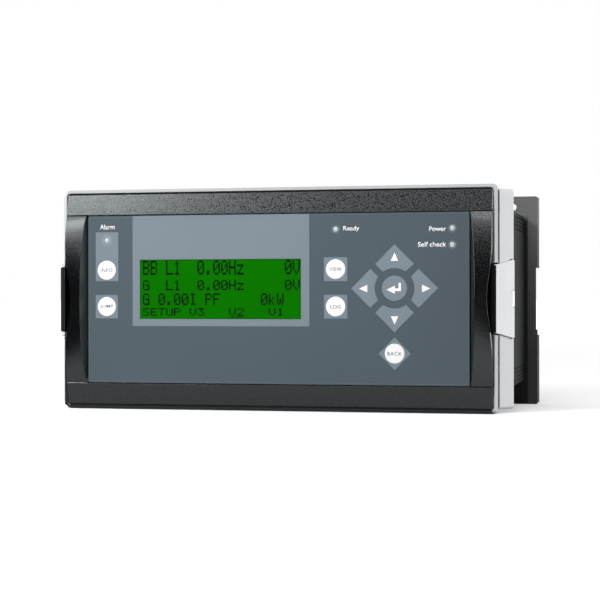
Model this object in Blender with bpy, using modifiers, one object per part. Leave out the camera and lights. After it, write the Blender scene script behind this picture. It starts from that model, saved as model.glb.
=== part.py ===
"""Protection relay for switchgear: a display head, the frame behind it, and a relay box on a back plate.

Everything is in metres. The front faces -Y, +X is to the right as seen from the front, and the part
rests on Z = 0. Depths run back from the faces of the two rails, and heights from the middle of the head.
"""

import math

import bmesh
import bpy
from mathutils import Matrix, Vector

# Overall sizes
HEAD_WIDTH = 0.230
HEAD_HEIGHT = 0.116
DEPTH = 0.090
PLATE_WIDTH = 0.255
PLATE_HEIGHT = 0.1143
BOX_WIDTH = 0.2406
BOX_HEIGHT = 0.0916

# Clearances
GAP = 0.0003
KEY_CLEARANCE = 0.0002
PIN_CLEARANCE = 0.00005

# Display head: the flared tray, the rails and cheeks laid in it, and the panel between them
RIM_DEPTH = 0.007
RIM_FRONT = 0.0017
FLARE_DEPTH = 0.0028
SIDE_FLARE = 0.0010
TOP_FLARE = 0.0013
RIM_LIP = 0.0005
SIDE_SHADOW = 0.0003
TOP_SHADOW = 0.0008
RIM_RADIUS = 0.002
PANEL_WIDTH = 0.2026
PANEL_HEIGHT = 0.0879
PANEL_RECESS = 0.0008
PANEL_THICKNESS = 0.0028
PANEL_RADIUS = 0.0008
PANEL_LEDGE = 0.0033
RAIL_EDGE = 0.0004
RAIL_SLOPE = 0.0015
RAIL_TAPER = 0.0003
RAIL_RADIUS = 0.0006
SCALLOP_DEPTH = 0.0028
SCALLOP_REACH = 0.027
CHEEK_PROUD = 0.0031
CHEEK_ARCH = 6
CREST_MARGIN = 0.0005
CREST_REACH = 0.0024
CREST_PROUD = 0.0045
CREST_ARCH = 0.65
CHEEK_STATIONS = 44
SKIRT_INSET = 0.006
SKIRT_TOP_INSET = 0.0048
SKIRT_LENGTH = 0.008
SKIRT_WALL = 0.0025
BOARD_THICKNESS = 0.0016
COVER_THICKNESS = 0.0015

# Keys, lamps and display on the panel, from its middle, with heights as shares of the panel's
LEFT_COLUMN = -0.0910
KEY_COLUMN = 0.0326
UPPER_KEY = 0.174 * PANEL_HEIGHT
LOWER_KEY = -0.0444 * PANEL_HEIGHT
PAD_X = 0.0632
PAD_Z = 0.0603 * PANEL_HEIGHT
BACK_KEY = -0.3163 * PANEL_HEIGHT
ROUND_KEY_RADIUS = 0.0051
KEY_PROUD = 0.0003
KEY_TRAVEL = 0.0005
KEY_FLANGE = 0.0008
KEY_FLANGE_THICKNESS = 0.0006
KEY_EDGE = 0.00025
MAT_THICKNESS = 0.0010
PAD_REACH = 0.256 * PANEL_HEIGHT
PAD_SLOT = 0.00335
PAD_RING = 0.0102
ENTER_RADIUS = 0.0066
LAMP_RADIUS = 0.0015
LAMP_DOME = ((0.45, 0.0), (0.8, 0.12), (1.0, 0.4))
LAMP_COLUMN = 0.0927
UPPER_LAMP = 0.4061 * PANEL_HEIGHT
LOWER_LAMP = 0.3106 * PANEL_HEIGHT
ALARM_LAMP = 0.3527 * PANEL_HEIGHT
DISPLAY_X = -0.0291
DISPLAY_Z = 0.0052
DISPLAY_WIDTH = 0.0872
DISPLAY_HEIGHT = 0.0314
DISPLAY_BORDER = 0.0055
WINDOW_THICKNESS = 0.0020

# Rear frame with its flared sides, and the latches hinged on them
FRAME_DEPTH = 0.0082
FRAME_HEIGHT = 0.1119
FRAME_SIDE_STEP = 0.0005
FRAME_FLARE = 0.0062
FRAME_RADIUS = 0.0015
GASKET_DEPTH = 0.0024
GASKET_SETBACK = 0.0018
GASKET_SIDE_STEP = 0.0002
LATCH_CUT = 0.0175
LATCH_THICKNESS = 0.0011
LATCH_TIP_X = 0.1151
LATCH_TIP_PROUD = 0.0042
LATCH_TIP_HALF = 0.0171
LATCH_BEND = 0.0005
LATCH_BEND_HALF = 0.0178
LATCH_REAR_HALF = 0.0200
BARREL_RADIUS = 0.0013
BARREL_SETBACK = 0.0014
KNUCKLE_HALF = 0.0044
PIN_RADIUS = 0.0006
GRIP_NOSE = 0.0010
GRIP_LENGTH = 0.0090
GRIP_THICKNESS = 0.0009
GRIP_ROUND = 0.0005

# Relay box, back plate and terminals
WALL = 0.0015
BOX_RADIUS = 0.002
FLANGE_THICKNESS = 0.0018
FLANGE_HEIGHT = 0.110
FLANGE_OVERHANG = 0.0007
PLATE_THICKNESS = 0.002
PLATE_RADIUS = 0.0008
PLATE_NOTCH_DEPTH = 0.0008
PLATE_NOTCH_HALF = 0.017
MOUNT_HOLE_RADIUS = 0.0019
UPPER_HOLE_X = 0.1142
LOWER_HOLE_X = 0.1095
MOUNT_HOLE_Z = 0.0504
RIB_PITCH = 0.0021
RIB_GROOVE = 0.0009
RIB_GROOVE_DEPTH = 0.0005
RIB_COUNT = 4
VENT_WIDTH = 0.0024
VENT_LENGTH = 0.028
VENT_PITCH = 0.0115
VENT_COUNT = 17
SCREW_X = 0.1145
SCREW_Z = BOX_HEIGHT / 2 - 0.0063
SCREW_RADIUS = 0.00125
SCREW_HEAD_RADIUS = 0.003
SCREW_LENGTH = 0.012
SCREW_SLOT = 0.0007
SCREW_SLOT_LENGTH = 0.0034
SCREW_SLOT_DEEP = 0.0009
BOSS_RADIUS = 0.0046
BOSS_LENGTH = 0.016
TERMINAL_WAYS = 12
TERMINAL_PITCH = 0.00508
TERMINAL_DEPTH = 0.015
TERMINAL_HEIGHT = 0.0098
TERMINAL_SETBACK = 0.005
TERMINAL_SPACING = 0.068
WIRE_ENTRY = 0.0032
WIRE_ENTRY_DEPTH = 0.0046
WIRE_ENTRY_SETBACK = 0.0090
WIRE_HOLE_DEEP = 0.0060
CLAMP_HOLE_RADIUS = 0.0015
CLAMP_HOLE_DEEP = 0.0030

# Boards and parts inside the box
PILLAR_X = 0.100
PILLAR_Z = BOX_HEIGHT / 2 - 0.0098
PILLAR_RADIUS = 0.0022
PILLAR_SHOULDER_RADIUS = 0.0035
PILLAR_SHOULDER = 0.004
BOARD_SPACING = 0.037
BOARD_MARGIN = 0.0025
RELAY_SIZE = (0.029, 0.013, 0.016)
RELAY_PITCH = 0.034
TRANSFORMER_SIZE = (0.042, 0.036, 0.026)
COIL_OVERHANG = 0.0045
CAPACITOR_RADIUS = 0.009
CAPACITOR_LENGTH = 0.024
CAPACITOR_RIM = 0.0009
SOCKET_SIZE = (0.044, 0.008, 0.006)
RIBBON_THICKNESS = 0.0009
RIBBON_SAG = 0.004

# Places that follow from the sizes above
CENTRE_Z = HEAD_HEIGHT / 2
RIM_X = HEAD_WIDTH / 2
RIM_Z = HEAD_HEIGHT / 2
POCKET_X = RIM_X - SIDE_FLARE - RIM_LIP
POCKET_Z = RIM_Z - TOP_FLARE - RIM_LIP
FACE_X = POCKET_X - SIDE_SHADOW
FACE_Z = POCKET_Z - TOP_SHADOW
PANEL_BACK = PANEL_RECESS + PANEL_THICKNESS
WEB_FRONT = PANEL_BACK + GAP
KEY_BACK = WEB_FRONT + KEY_FLANGE_THICKNESS
MAT_FRONT = KEY_BACK + KEY_TRAVEL + GAP
MAT_BACK = MAT_FRONT + MAT_THICKNESS
BOARD_FRONT = MAT_BACK + GAP
BOARD_BACK = BOARD_FRONT + BOARD_THICKNESS
SKIRT_X = RIM_X - SKIRT_INSET
SKIRT_Z = RIM_Z - SKIRT_TOP_INSET
SKIRT_BACK = RIM_DEPTH + SKIRT_LENGTH
FRAME_FRONT = RIM_DEPTH + GASKET_DEPTH + 2 * GAP
FRAME_BACK = FRAME_FRONT + FRAME_DEPTH
FRAME_FRONT_X = RIM_X + FRAME_SIDE_STEP
FRAME_BACK_X = FRAME_FRONT_X + FRAME_FLARE
FLANGE_FRONT = FRAME_BACK + GAP
PLATE_FRONT = DEPTH - PLATE_THICKNESS
BOX_BACK = PLATE_FRONT - GAP
FLARE_LENGTH = math.hypot(FRAME_FLARE, FRAME_DEPTH)
BARREL_ALONG = FLARE_LENGTH - BARREL_SETBACK
BARREL_OUT = GAP + LATCH_THICKNESS - BARREL_RADIUS
MAIN_BOARD_BACK = PLATE_FRONT - GAP - PILLAR_SHOULDER - GAP
MAIN_BOARD_FRONT = MAIN_BOARD_BACK - BOARD_THICKNESS
PROCESSOR_BACK = MAIN_BOARD_FRONT - BOARD_SPACING
PROCESSOR_FRONT = PROCESSOR_BACK - BOARD_THICKNESS
COVER_BACK = SKIRT_BACK - GAP
COVER_FRONT = COVER_BACK - COVER_THICKNESS
CIRCLE_STEPS = 32
SMALL_STEPS = 16
TINY_STEPS = 12
CLAMP_STEPS = 6
LEAST_RADIUS = 0.00005
MERGE_DISTANCE = 0.00001


def at(depth):
    """World Y of a depth behind the rails' faces, with the part's middle at zero."""
    return depth - (DEPTH - CREST_PROUD) / 2


def axes(origin, across, upward, away):
    """A matrix that places local (across, up, away) points in the world."""
    turn = Matrix((across, upward, away)).transposed().to_4x4()
    return Matrix.Translation(origin) @ turn


# Local points are (x, height, depth) in FRONT and (depth, height, x) in SIDEWAYS.
FRONT = axes((0, at(0), CENTRE_Z), (1, 0, 0), (0, 0, 1), (0, 1, 0))
SIDEWAYS = axes((0, at(0), CENTRE_Z), (0, 1, 0), (0, 0, 1), (1, 0, 0))


def flare_axes(side):
    """Axes on a flared side of the frame: along the flare from its front edge, up, and out from its face."""
    along = Vector((side * FRAME_FLARE, FRAME_DEPTH, 0)).normalized()
    out = Vector((side * along.y, -side * along.x, 0))
    return axes((side * FRAME_FRONT_X, at(FRAME_FRONT), CENTRE_Z), along, (0, 0, 1), out)


def hinge_axes(side):
    """Axes on a latch's hinge, with the third along it."""
    upright = Matrix.Rotation(-math.pi / 2, 4, "X")
    return flare_axes(side) @ Matrix.Translation((BARREL_ALONG, 0, BARREL_OUT)) @ upright


def clear_scene():
    for obj in list(bpy.data.objects):
        bpy.data.objects.remove(obj, do_unlink=True)
    for group in list(bpy.data.collections):
        bpy.data.collections.remove(group)


def new_collection(name):
    group = bpy.data.collections.new(name)
    bpy.context.scene.collection.children.link(group)
    return group


def material(name, colour, roughness, metallic=0.0):
    look = bpy.data.materials.new(name)
    look.use_nodes = True
    shader = look.node_tree.nodes["Principled BSDF"]
    shader.inputs["Base Color"].default_value = (*colour, 1.0)
    shader.inputs["Roughness"].default_value = roughness
    shader.inputs["Metallic"].default_value = metallic
    look.diffuse_color = (*colour, 1.0)
    return look


def loft(rings, place):
    """A closed body skinned through rings that have equal counts of points."""
    body = bmesh.new()
    loops = [[body.verts.new(place @ Vector(point)) for point in ring] for ring in rings]
    for near, far in zip(loops, loops[1:]):
        for index, corner in enumerate(near):
            following = (index + 1) % len(near)
            body.faces.new((corner, near[following], far[following], far[index]))
    body.faces.new(loops[0])
    body.faces.new(list(reversed(loops[-1])))
    bmesh.ops.recalc_face_normals(body, faces=body.faces)
    return body


def prism(outline, near, far, place):
    """An outline of two coordinates, carried from near to far along the third."""
    return loft([[(a, b, near) for a, b in outline], [(a, b, far) for a, b in outline]], place)


def block(low, high, place):
    """A box between two corners."""
    low, high = Vector(low), Vector(high)
    body = bmesh.new()
    fitted = place @ Matrix.Translation((low + high) / 2) @ Matrix.Diagonal(high - low).to_4x4()
    bmesh.ops.create_cube(body, size=1.0, matrix=fitted)
    bmesh.ops.recalc_face_normals(body, faces=body.faces)
    return body


def rod(radius, centre, near, far, place, steps=CIRCLE_STEPS, far_radius=None):
    """A cylinder, or a cone with a far_radius, along the third axis of its place."""
    body = bmesh.new()
    fitted = place @ Matrix.Translation((*centre, (near + far) / 2))
    far_radius = radius if far_radius is None else far_radius
    bmesh.ops.create_cone(body, cap_ends=True, segments=steps, radius1=radius, radius2=far_radius,
                          depth=far - near, matrix=fitted)
    bmesh.ops.recalc_face_normals(body, faces=body.faces)
    return body


def circle(centre, radius, steps=CIRCLE_STEPS):
    turns = [2 * math.pi * step / steps for step in range(steps)]
    return [(centre[0] + radius * math.cos(turn), centre[1] + radius * math.sin(turn)) for turn in turns]


def rounded_rectangle(low, high, radius, inset=0.0, steps=4):
    """A rectangle's outline with round corners, drawn in by inset on each side."""
    radius = max(radius - inset, LEAST_RADIUS)
    left, bottom = low[0] + inset + radius, low[1] + inset + radius
    right, top = high[0] - inset - radius, high[1] - inset - radius
    outline = []
    for quarter, (x, z) in enumerate(((right, top), (left, top), (left, bottom), (right, bottom))):
        for step in range(steps + 1):
            turn = (quarter + step / steps) * math.pi / 2
            outline.append((x + radius * math.cos(turn), z + radius * math.sin(turn)))
    return outline


def ring_at(outline, depth):
    return [(x, z, depth) for x, z in outline]


def centred(half_x, half_z, radius, inset=0.0):
    return rounded_rectangle((-half_x, -half_z), (half_x, half_z), radius, inset)


def merged(bodies):
    """One mesh that holds several bodies which don't touch."""
    whole = bmesh.new()
    for body in bodies:
        mesh = bpy.data.meshes.new("loose")
        body.to_mesh(mesh)
        body.free()
        whole.from_mesh(mesh)
        bpy.data.meshes.remove(mesh)
    return whole


def add(name, body, look, origin=(0, 0, 0)):
    """Puts a body in the part's collection, with its origin at a world point."""
    bmesh.ops.translate(body, verts=body.verts, vec=-Vector(origin))
    mesh = bpy.data.meshes.new(name)
    body.to_mesh(mesh)
    body.free()
    mesh.materials.append(look)
    obj = bpy.data.objects.new(name, mesh)
    obj.location = origin
    PARTS.objects.link(obj)
    return obj


def shape(obj, name, bodies, operation="DIFFERENCE"):
    """Cuts an object with bodies that don't touch each other, or joins them to it."""
    body = merged(bodies)
    mesh = bpy.data.meshes.new(name)
    body.to_mesh(mesh)
    body.free()
    tool = bpy.data.objects.new(name, mesh)
    tool.hide_render = True
    tool.display_type = "WIRE"
    CUTTERS.objects.link(tool)
    step = obj.modifiers.new(name, "BOOLEAN")
    step.operation = operation
    step.solver = "EXACT"
    step.object = tool


def smooth(obj, degrees=35):
    obj.data.shade_smooth()
    obj.data.set_sharp_from_angle(angle=math.radians(degrees))
    return obj


def turned(name, profile, look, centre, depth, forward):
    """A turned piece from (radius, height) points, top to bottom. Its top points forward or back."""
    mesh = bpy.data.meshes.new(name)
    points = [(radius, 0, height) for radius, height in profile]
    mesh.from_pydata(points, [(index, index + 1) for index in range(len(points) - 1)], [])
    mesh.materials.append(look)
    obj = bpy.data.objects.new(name, mesh)
    obj.location = (centre[0], at(depth), CENTRE_Z + centre[1])
    obj.rotation_euler = (math.pi / 2 if forward else -math.pi / 2, 0, 0)
    PARTS.objects.link(obj)
    spin = obj.modifiers.new("turn", "SCREW")
    spin.steps = spin.render_steps = SMALL_STEPS
    spin.use_merge_vertices = True
    spin.merge_threshold = MERGE_DISTANCE
    spin.use_smooth_shade = True
    return obj


def scallop_edge(z):
    """Half width of the head's face at a height, drawn in beside the latch."""
    if abs(z) >= SCALLOP_REACH:
        return FACE_X
    return FACE_X - SCALLOP_DEPTH * math.cos(math.pi * z / (2 * SCALLOP_REACH)) ** 2


def crest_rise(z):
    """How far up its arch the crest of a cheek is at a height, from 0 at the rails to 1 in the middle."""
    return max(math.cos(math.pi * z / PANEL_HEIGHT), 0) ** CREST_ARCH


def cheek_rise(z):
    """How far the outer edge of a cheek stands forward at a height."""
    return CHEEK_PROUD * (1 - abs(2 * z / PANEL_HEIGHT) ** CHEEK_ARCH)


def make_rails():
    """The rails above and below the panel, whose faces slope back a little towards the rim."""
    inner = PANEL_HEIGHT / 2 + GAP
    for name, side in (("top_rail", 1), ("bottom_rail", -1)):
        low, high = sorted((side * inner, side * FACE_Z))
        rings = []
        for depth, inset in ((0, RAIL_EDGE), (RAIL_EDGE / 3, RAIL_EDGE / 3), (RAIL_EDGE, 0), (PANEL_BACK, 0)):
            outline = rounded_rectangle((-FACE_X, low), (FACE_X, high), RAIL_RADIUS, inset)
            slope = RAIL_SLOPE / (FACE_Z - inner) if depth < PANEL_BACK else 0
            taper = RAIL_TAPER / (FACE_Z - inner)
            ring = []
            for x, z in outline:
                beyond = abs(z) - inner
                ring.append((x - math.copysign(taper * beyond, x), z, depth + slope * beyond))
            rings.append(ring)
        add(name, loft(rings, FRONT), LOOKS["textured_black"])


def make_cheeks():
    """The side pieces, arched forward, with a thumb scallop outside and a facet from the crest to the panel."""
    half = PANEL_HEIGHT / 2
    heights = [half * (2 * step / CHEEK_STATIONS - 1) for step in range(CHEEK_STATIONS + 1)]
    boss_half = LATCH_CUT - 2 * GAP
    boss_steps = CHEEK_STATIONS // 2
    boss_heights = [boss_half * (2 * step / boss_steps - 1) for step in range(boss_steps + 1)]
    boss_inner = SKIRT_X + GAP
    boss_front = PANEL_BACK - 2 * GAP
    boss_back = RIM_DEPTH - GAP / 2
    edge = PANEL_WIDTH / 2 + GAP
    for name, side in (("left_cheek", -1), ("right_cheek", 1)):
        rings = []
        for z in heights:
            outer, face, rise = scallop_edge(z), -cheek_rise(z), crest_rise(z)
            crest = edge + CREST_MARGIN + CREST_REACH * rise
            section = ((outer, PANEL_BACK), (outer, face + RAIL_EDGE), (outer - RAIL_EDGE, face),
                       (crest, -CREST_PROUD * rise), (edge, PANEL_RECESS), (edge, PANEL_BACK))
            rings.append([(side * x, z, depth) for x, depth in section])
        cheek = add(name, loft(rings, FRONT), LOOKS["textured_black"])
        rings = []
        for z in boss_heights:
            outer = scallop_edge(z) - GAP / 3
            section = ((outer, boss_back), (outer, boss_front), (boss_inner, boss_front),
                       (boss_inner, boss_back))
            rings.append([(side * x, z, depth) for x, depth in section])
        shape(cheek, name + "_boss", [loft(rings, FRONT)], "UNION")
        smooth(cheek, 20)


def latch_gap_outline(side):
    """The slanted cut through the rim that lets a latch reach the head."""
    inner, outer = SKIRT_X + GAP, RIM_X + SIDE_FLARE
    slant = SIDE_FLARE
    return [(side * inner, -LATCH_CUT), (side * outer, -LATCH_CUT - slant),
            (side * outer, LATCH_CUT + slant), (side * inner, LATCH_CUT)]


def make_tray():
    """The moulded tray: a flared rim, a web that the panel sits on, and a skirt that enters the frame."""
    rings = [
        ring_at(centred(RIM_X - SIDE_FLARE, RIM_Z - TOP_FLARE, RIM_RADIUS), RIM_FRONT),
        ring_at(centred(RIM_X, RIM_Z, RIM_RADIUS), RIM_FRONT + FLARE_DEPTH),
        ring_at(centred(RIM_X, RIM_Z, RIM_RADIUS), RIM_DEPTH),
        ring_at(centred(SKIRT_X, SKIRT_Z, RIM_RADIUS), RIM_DEPTH),
        ring_at(centred(SKIRT_X, SKIRT_Z, RIM_RADIUS), SKIRT_BACK),
    ]
    tray = add("front_tray", loft(rings, FRONT), LOOKS["pale_grey"])
    shape(tray, "tray_pocket", [prism(centred(POCKET_X, POCKET_Z, RIM_RADIUS), -RIM_FRONT, WEB_FRONT, FRONT)])
    opening_x, opening_z = PANEL_WIDTH / 2 - PANEL_LEDGE, PANEL_HEIGHT / 2 - PANEL_LEDGE
    shape(tray, "tray_opening", [prism(centred(opening_x, opening_z, RIM_RADIUS), 0, SKIRT_BACK, FRONT)])
    cavity = centred(SKIRT_X - SKIRT_WALL, SKIRT_Z - SKIRT_WALL, RIM_RADIUS)
    shape(tray, "tray_cavity", [prism(cavity, MAT_BACK, SKIRT_BACK + RIM_DEPTH, FRONT)])
    gaps = [prism(latch_gap_outline(side), -RIM_FRONT, RIM_DEPTH + GAP, FRONT) for side in (-1, 1)]
    shape(tray, "tray_latch_gaps", gaps)


def pad_arm(turn, reach, slot, ring):
    """Outline of one arrow key: a quarter of a diamond, cut by the diagonal slots and the middle ring."""
    offset = slot / 2 * math.sqrt(2)
    corner = (reach - offset) / 2
    near = (-offset + math.sqrt(2 * ring ** 2 - offset ** 2)) / 2
    start = math.atan2(near + offset, near)
    arc_steps = 8
    points = [(0, reach), (-corner, corner + offset)]
    for step in range(arc_steps + 1):
        angle = math.pi - start - (math.pi - 2 * start) * step / arc_steps
        points.append((ring * math.cos(angle), ring * math.sin(angle)))
    points.append((corner, corner + offset))
    cos, sin = math.cos(turn), math.sin(turn)
    return [(PAD_X + x * cos - z * sin, PAD_Z + x * sin + z * cos) for x, z in points]


def round_key_places():
    return {"info_key": (LEFT_COLUMN, UPPER_KEY), "jump_key": (LEFT_COLUMN, LOWER_KEY),
            "view_key": (KEY_COLUMN, UPPER_KEY), "log_key": (KEY_COLUMN, LOWER_KEY),
            "back_key": (PAD_X, BACK_KEY)}


def key_outlines(grow):
    """Every key's name, centre and outline, with the outline grown by a margin."""
    keys = {}
    for name, centre in round_key_places().items():
        keys[name] = (centre, circle(centre, ROUND_KEY_RADIUS + grow))
    keys["enter_key"] = ((PAD_X, PAD_Z), circle((PAD_X, PAD_Z), ENTER_RADIUS + grow))
    reach, slot, ring = PAD_REACH + grow * math.sqrt(2), PAD_SLOT - 2 * grow, PAD_RING - grow
    middle = (PAD_REACH + PAD_RING) / 2
    for quarter, name in enumerate(("up_key", "left_key", "down_key", "right_key")):
        turn = quarter * math.pi / 2
        centre = (PAD_X - middle * math.sin(turn), PAD_Z + middle * math.cos(turn))
        keys[name] = (centre, pad_arm(turn, reach, slot, ring))
    return keys


def make_keys():
    """Key caps that stand a little proud of the panel, each kept in by a flange behind it."""
    face = PANEL_RECESS - KEY_PROUD
    flanges = key_outlines(KEY_FLANGE)
    tops = key_outlines(-KEY_EDGE)
    for name, (centre, outline) in key_outlines(0).items():
        rings = [ring_at(tops[name][1], face), ring_at(outline, face + KEY_EDGE), ring_at(outline, WEB_FRONT),
                 ring_at(flanges[name][1], WEB_FRONT), ring_at(flanges[name][1], KEY_BACK)]
        look = LOOKS["white_key" if name in round_key_places() else "blue_grey"]
        origin = FRONT @ Vector((centre[0], centre[1], face))
        smooth(add(name, loft(rings, FRONT), look, origin), 30)


def lamp_places():
    return {"alarm_lamp": (LEFT_COLUMN, ALARM_LAMP), "ready_lamp": (KEY_COLUMN, UPPER_LAMP),
            "power_lamp": (LAMP_COLUMN, UPPER_LAMP), "self_check_lamp": (LAMP_COLUMN, LOWER_LAMP)}


def make_lamps():
    """Small domed light guides that run from the panel back to the board."""
    face = PANEL_RECESS - KEY_PROUD / 2
    for name, centre in lamp_places().items():
        rings = [ring_at(circle(centre, LAMP_RADIUS * share, SMALL_STEPS), face + LAMP_RADIUS * drop)
                 for share, drop in LAMP_DOME]
        rings.append(ring_at(circle(centre, LAMP_RADIUS, SMALL_STEPS), MAT_BACK))
        smooth(add(name, loft(rings, FRONT), LOOKS["lamp"]), 30)


def make_panel():
    """The panel behind the print, with a window for each key, lamp and the display."""
    outline = centred(PANEL_WIDTH / 2, PANEL_HEIGHT / 2, PANEL_RADIUS)
    panel = add("front_panel", prism(outline, PANEL_RECESS, PANEL_BACK, FRONT), LOOKS["slate"])
    through = (0, PANEL_BACK + GAP, FRONT)
    keys = key_outlines(KEY_CLEARANCE).values()
    shape(panel, "key_windows", [prism(outline, *through) for _, outline in keys])
    lamp_hole = LAMP_RADIUS + KEY_CLEARANCE
    shape(panel, "lamp_windows",
          [prism(circle(centre, lamp_hole, SMALL_STEPS), *through) for centre in lamp_places().values()])
    half_x, half_z = DISPLAY_WIDTH / 2, DISPLAY_HEIGHT / 2
    shape(panel, "display_window", [block((DISPLAY_X - half_x, DISPLAY_Z - half_z, 0),
                                          (DISPLAY_X + half_x, DISPLAY_Z + half_z, PANEL_BACK + GAP), FRONT)])


def make_display():
    """The clear window in the panel, and the liquid crystal module behind it."""
    half_x, half_z = DISPLAY_WIDTH / 2 - KEY_CLEARANCE, DISPLAY_HEIGHT / 2 - KEY_CLEARANCE
    add("lcd_window", block((DISPLAY_X - half_x, DISPLAY_Z - half_z, PANEL_RECESS + KEY_EDGE / 2),
                            (DISPLAY_X + half_x, DISPLAY_Z + half_z, PANEL_RECESS + WINDOW_THICKNESS), FRONT),
        LOOKS["display_green"])
    half_x, half_z = DISPLAY_WIDTH / 2 + DISPLAY_BORDER, DISPLAY_HEIGHT / 2 + DISPLAY_BORDER
    module = add("lcd_module", block((DISPLAY_X - half_x, DISPLAY_Z - half_z, PANEL_BACK + GAP),
                                     (DISPLAY_X + half_x, DISPLAY_Z + half_z, MAT_BACK), FRONT), LOOKS["steel"])
    glass_x, glass_z = DISPLAY_WIDTH / 2, DISPLAY_HEIGHT / 2
    rise = [block((DISPLAY_X - glass_x + GAP, DISPLAY_Z - glass_z + GAP, PANEL_RECESS + WINDOW_THICKNESS + GAP),
                  (DISPLAY_X + glass_x - GAP, DISPLAY_Z + glass_z - GAP, MAT_BACK - GAP), FRONT)]
    shape(module, "display_glass", rise, "UNION")


def make_key_mat():
    """The rubber mat under the keys, open round the display and the lamps."""
    half_x, half_z = PANEL_WIDTH / 2 - PANEL_LEDGE - GAP, PANEL_HEIGHT / 2 - PANEL_LEDGE - GAP
    sheet = prism(centred(half_x, half_z, RIM_RADIUS), MAT_FRONT, MAT_BACK, FRONT)
    mat = add("keypad_mat", sheet, LOOKS["rubber"])
    border = DISPLAY_BORDER + GAP
    half_x, half_z = DISPLAY_WIDTH / 2 + border, DISPLAY_HEIGHT / 2 + border
    shape(mat, "mat_display_opening", [block((DISPLAY_X - half_x, DISPLAY_Z - half_z, 0),
                                             (DISPLAY_X + half_x, DISPLAY_Z + half_z, BOARD_FRONT), FRONT)])
    lamp_hole = LAMP_RADIUS + 2 * GAP
    shape(mat, "mat_lamp_holes",
          [rod(lamp_hole, centre, 0, BOARD_FRONT, FRONT, TINY_STEPS) for centre in lamp_places().values()])


def make_display_boards():
    """The board behind the keys, its rear cover, and the plug that joins it to the processor board."""
    half_x, half_z = SKIRT_X - SKIRT_WALL - GAP, SKIRT_Z - SKIRT_WALL - GAP
    outline = centred(half_x, half_z, RIM_RADIUS)
    add("display_board", prism(outline, BOARD_FRONT, BOARD_BACK, FRONT), LOOKS["board"])
    cover = add("display_rear_cover", prism(outline, COVER_FRONT, COVER_BACK, FRONT), LOOKS["smooth_black"])
    width, height, length = SOCKET_SIZE
    slot_x, slot_z = width / 2 + 2 * GAP, height / 2 + 2 * GAP
    shape(cover, "cover_slot", [block((-slot_x, -slot_z, 0), (slot_x, slot_z, FRAME_BACK), FRONT)])
    posts = [rod(PILLAR_RADIUS, (x, z), BOARD_BACK + GAP, COVER_FRONT + GAP, FRONT, TINY_STEPS)
             for x in (-PILLAR_X, 0, PILLAR_X) for z in (-PILLAR_Z, PILLAR_Z)]
    shape(cover, "cover_posts", posts, "UNION")
    socket_back = COVER_BACK + GAP
    sockets = {"display_socket": (BOARD_BACK + GAP, socket_back),
               "processor_socket": (PROCESSOR_FRONT - GAP - length, PROCESSOR_FRONT - GAP)}
    for name, (near, far) in sockets.items():
        low, high = (-width / 2, -height / 2, near), (width / 2, height / 2, far)
        add(name, block(low, high, FRONT), LOOKS["connector"])
    start, end = socket_back + GAP, PROCESSOR_FRONT - length - 2 * GAP
    steps = 16
    lower, upper = [], []
    for step in range(steps + 1):
        depth = start + (end - start) * step / steps
        z = -RIBBON_SAG * math.sin(math.pi * step / steps) ** 2
        lower.append((depth, z - RIBBON_THICKNESS / 2))
        upper.append((depth, z + RIBBON_THICKNESS / 2))
    half = width / 2 - 2 * GAP
    add("ribbon_cable", prism(lower + upper[::-1], -half, half, SIDEWAYS), LOOKS["ribbon"])


def make_gasket():
    """The black seal in the groove between the head and the frame, drawn in a little behind the latches."""
    half_x, half_z = RIM_X + GASKET_SIDE_STEP, RIM_Z - GASKET_SETBACK
    near, far = RIM_DEPTH + GAP, RIM_DEPTH + GAP + GASKET_DEPTH
    sheet = prism(centred(half_x, half_z, RIM_RADIUS), near, far, FRONT)
    gasket = add("panel_gasket", sheet, LOOKS["rubber"])
    inner = centred(SKIRT_X + GAP, SKIRT_Z + GAP, RIM_RADIUS)
    shape(gasket, "gasket_opening", [prism(inner, 0, SKIRT_BACK, FRONT)])
    notches = []
    for side in (-1, 1):
        low, high = sorted((side * (RIM_X - GAP), side * (RIM_X + SIDE_FLARE)))
        notches.append(block((low, -LATCH_REAR_HALF, 0), (high, LATCH_REAR_HALF, SKIRT_BACK), FRONT))
    shape(gasket, "gasket_notches", notches)


def make_frame():
    """The frame behind the head. Its flared sides carry the latches on a knuckle and a grooved seat."""
    half_z = FRAME_HEIGHT / 2
    rings = [ring_at(centred(FRAME_FRONT_X, half_z, FRAME_RADIUS), FRAME_FRONT),
             ring_at(centred(FRAME_BACK_X, half_z, FRAME_RADIUS), FRAME_BACK)]
    frame = add("rear_frame", loft(rings, FRONT), LOOKS["pale_grey"])
    inner = centred(SKIRT_X + GAP, SKIRT_Z + GAP, RIM_RADIUS)
    shape(frame, "frame_opening", [prism(inner, 0, FRAME_BACK + FRAME_DEPTH, FRONT)])
    grooves, knuckles, bores = [], [], []
    for side in (-1, 1):
        hinge = hinge_axes(side)
        seat = BARREL_RADIUS + GAP
        for low, high in ((-LATCH_REAR_HALF - GAP, -KNUCKLE_HALF), (KNUCKLE_HALF, LATCH_REAR_HALF + GAP)):
            grooves.append(rod(seat, (0, 0), low, high, hinge, SMALL_STEPS))
        knuckle_half, bore_half = KNUCKLE_HALF - GAP / 2, 2 * KNUCKLE_HALF
        knuckles.append(rod(BARREL_RADIUS - GAP / 6, (0, 0), -knuckle_half, knuckle_half, hinge, SMALL_STEPS))
        bores.append(rod(PIN_RADIUS + PIN_CLEARANCE, (0, 0), -bore_half, bore_half, hinge, SMALL_STEPS))
    shape(frame, "frame_grooves", grooves)
    shape(frame, "frame_knuckles", knuckles, "UNION")
    shape(frame, "frame_bores", bores)


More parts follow.
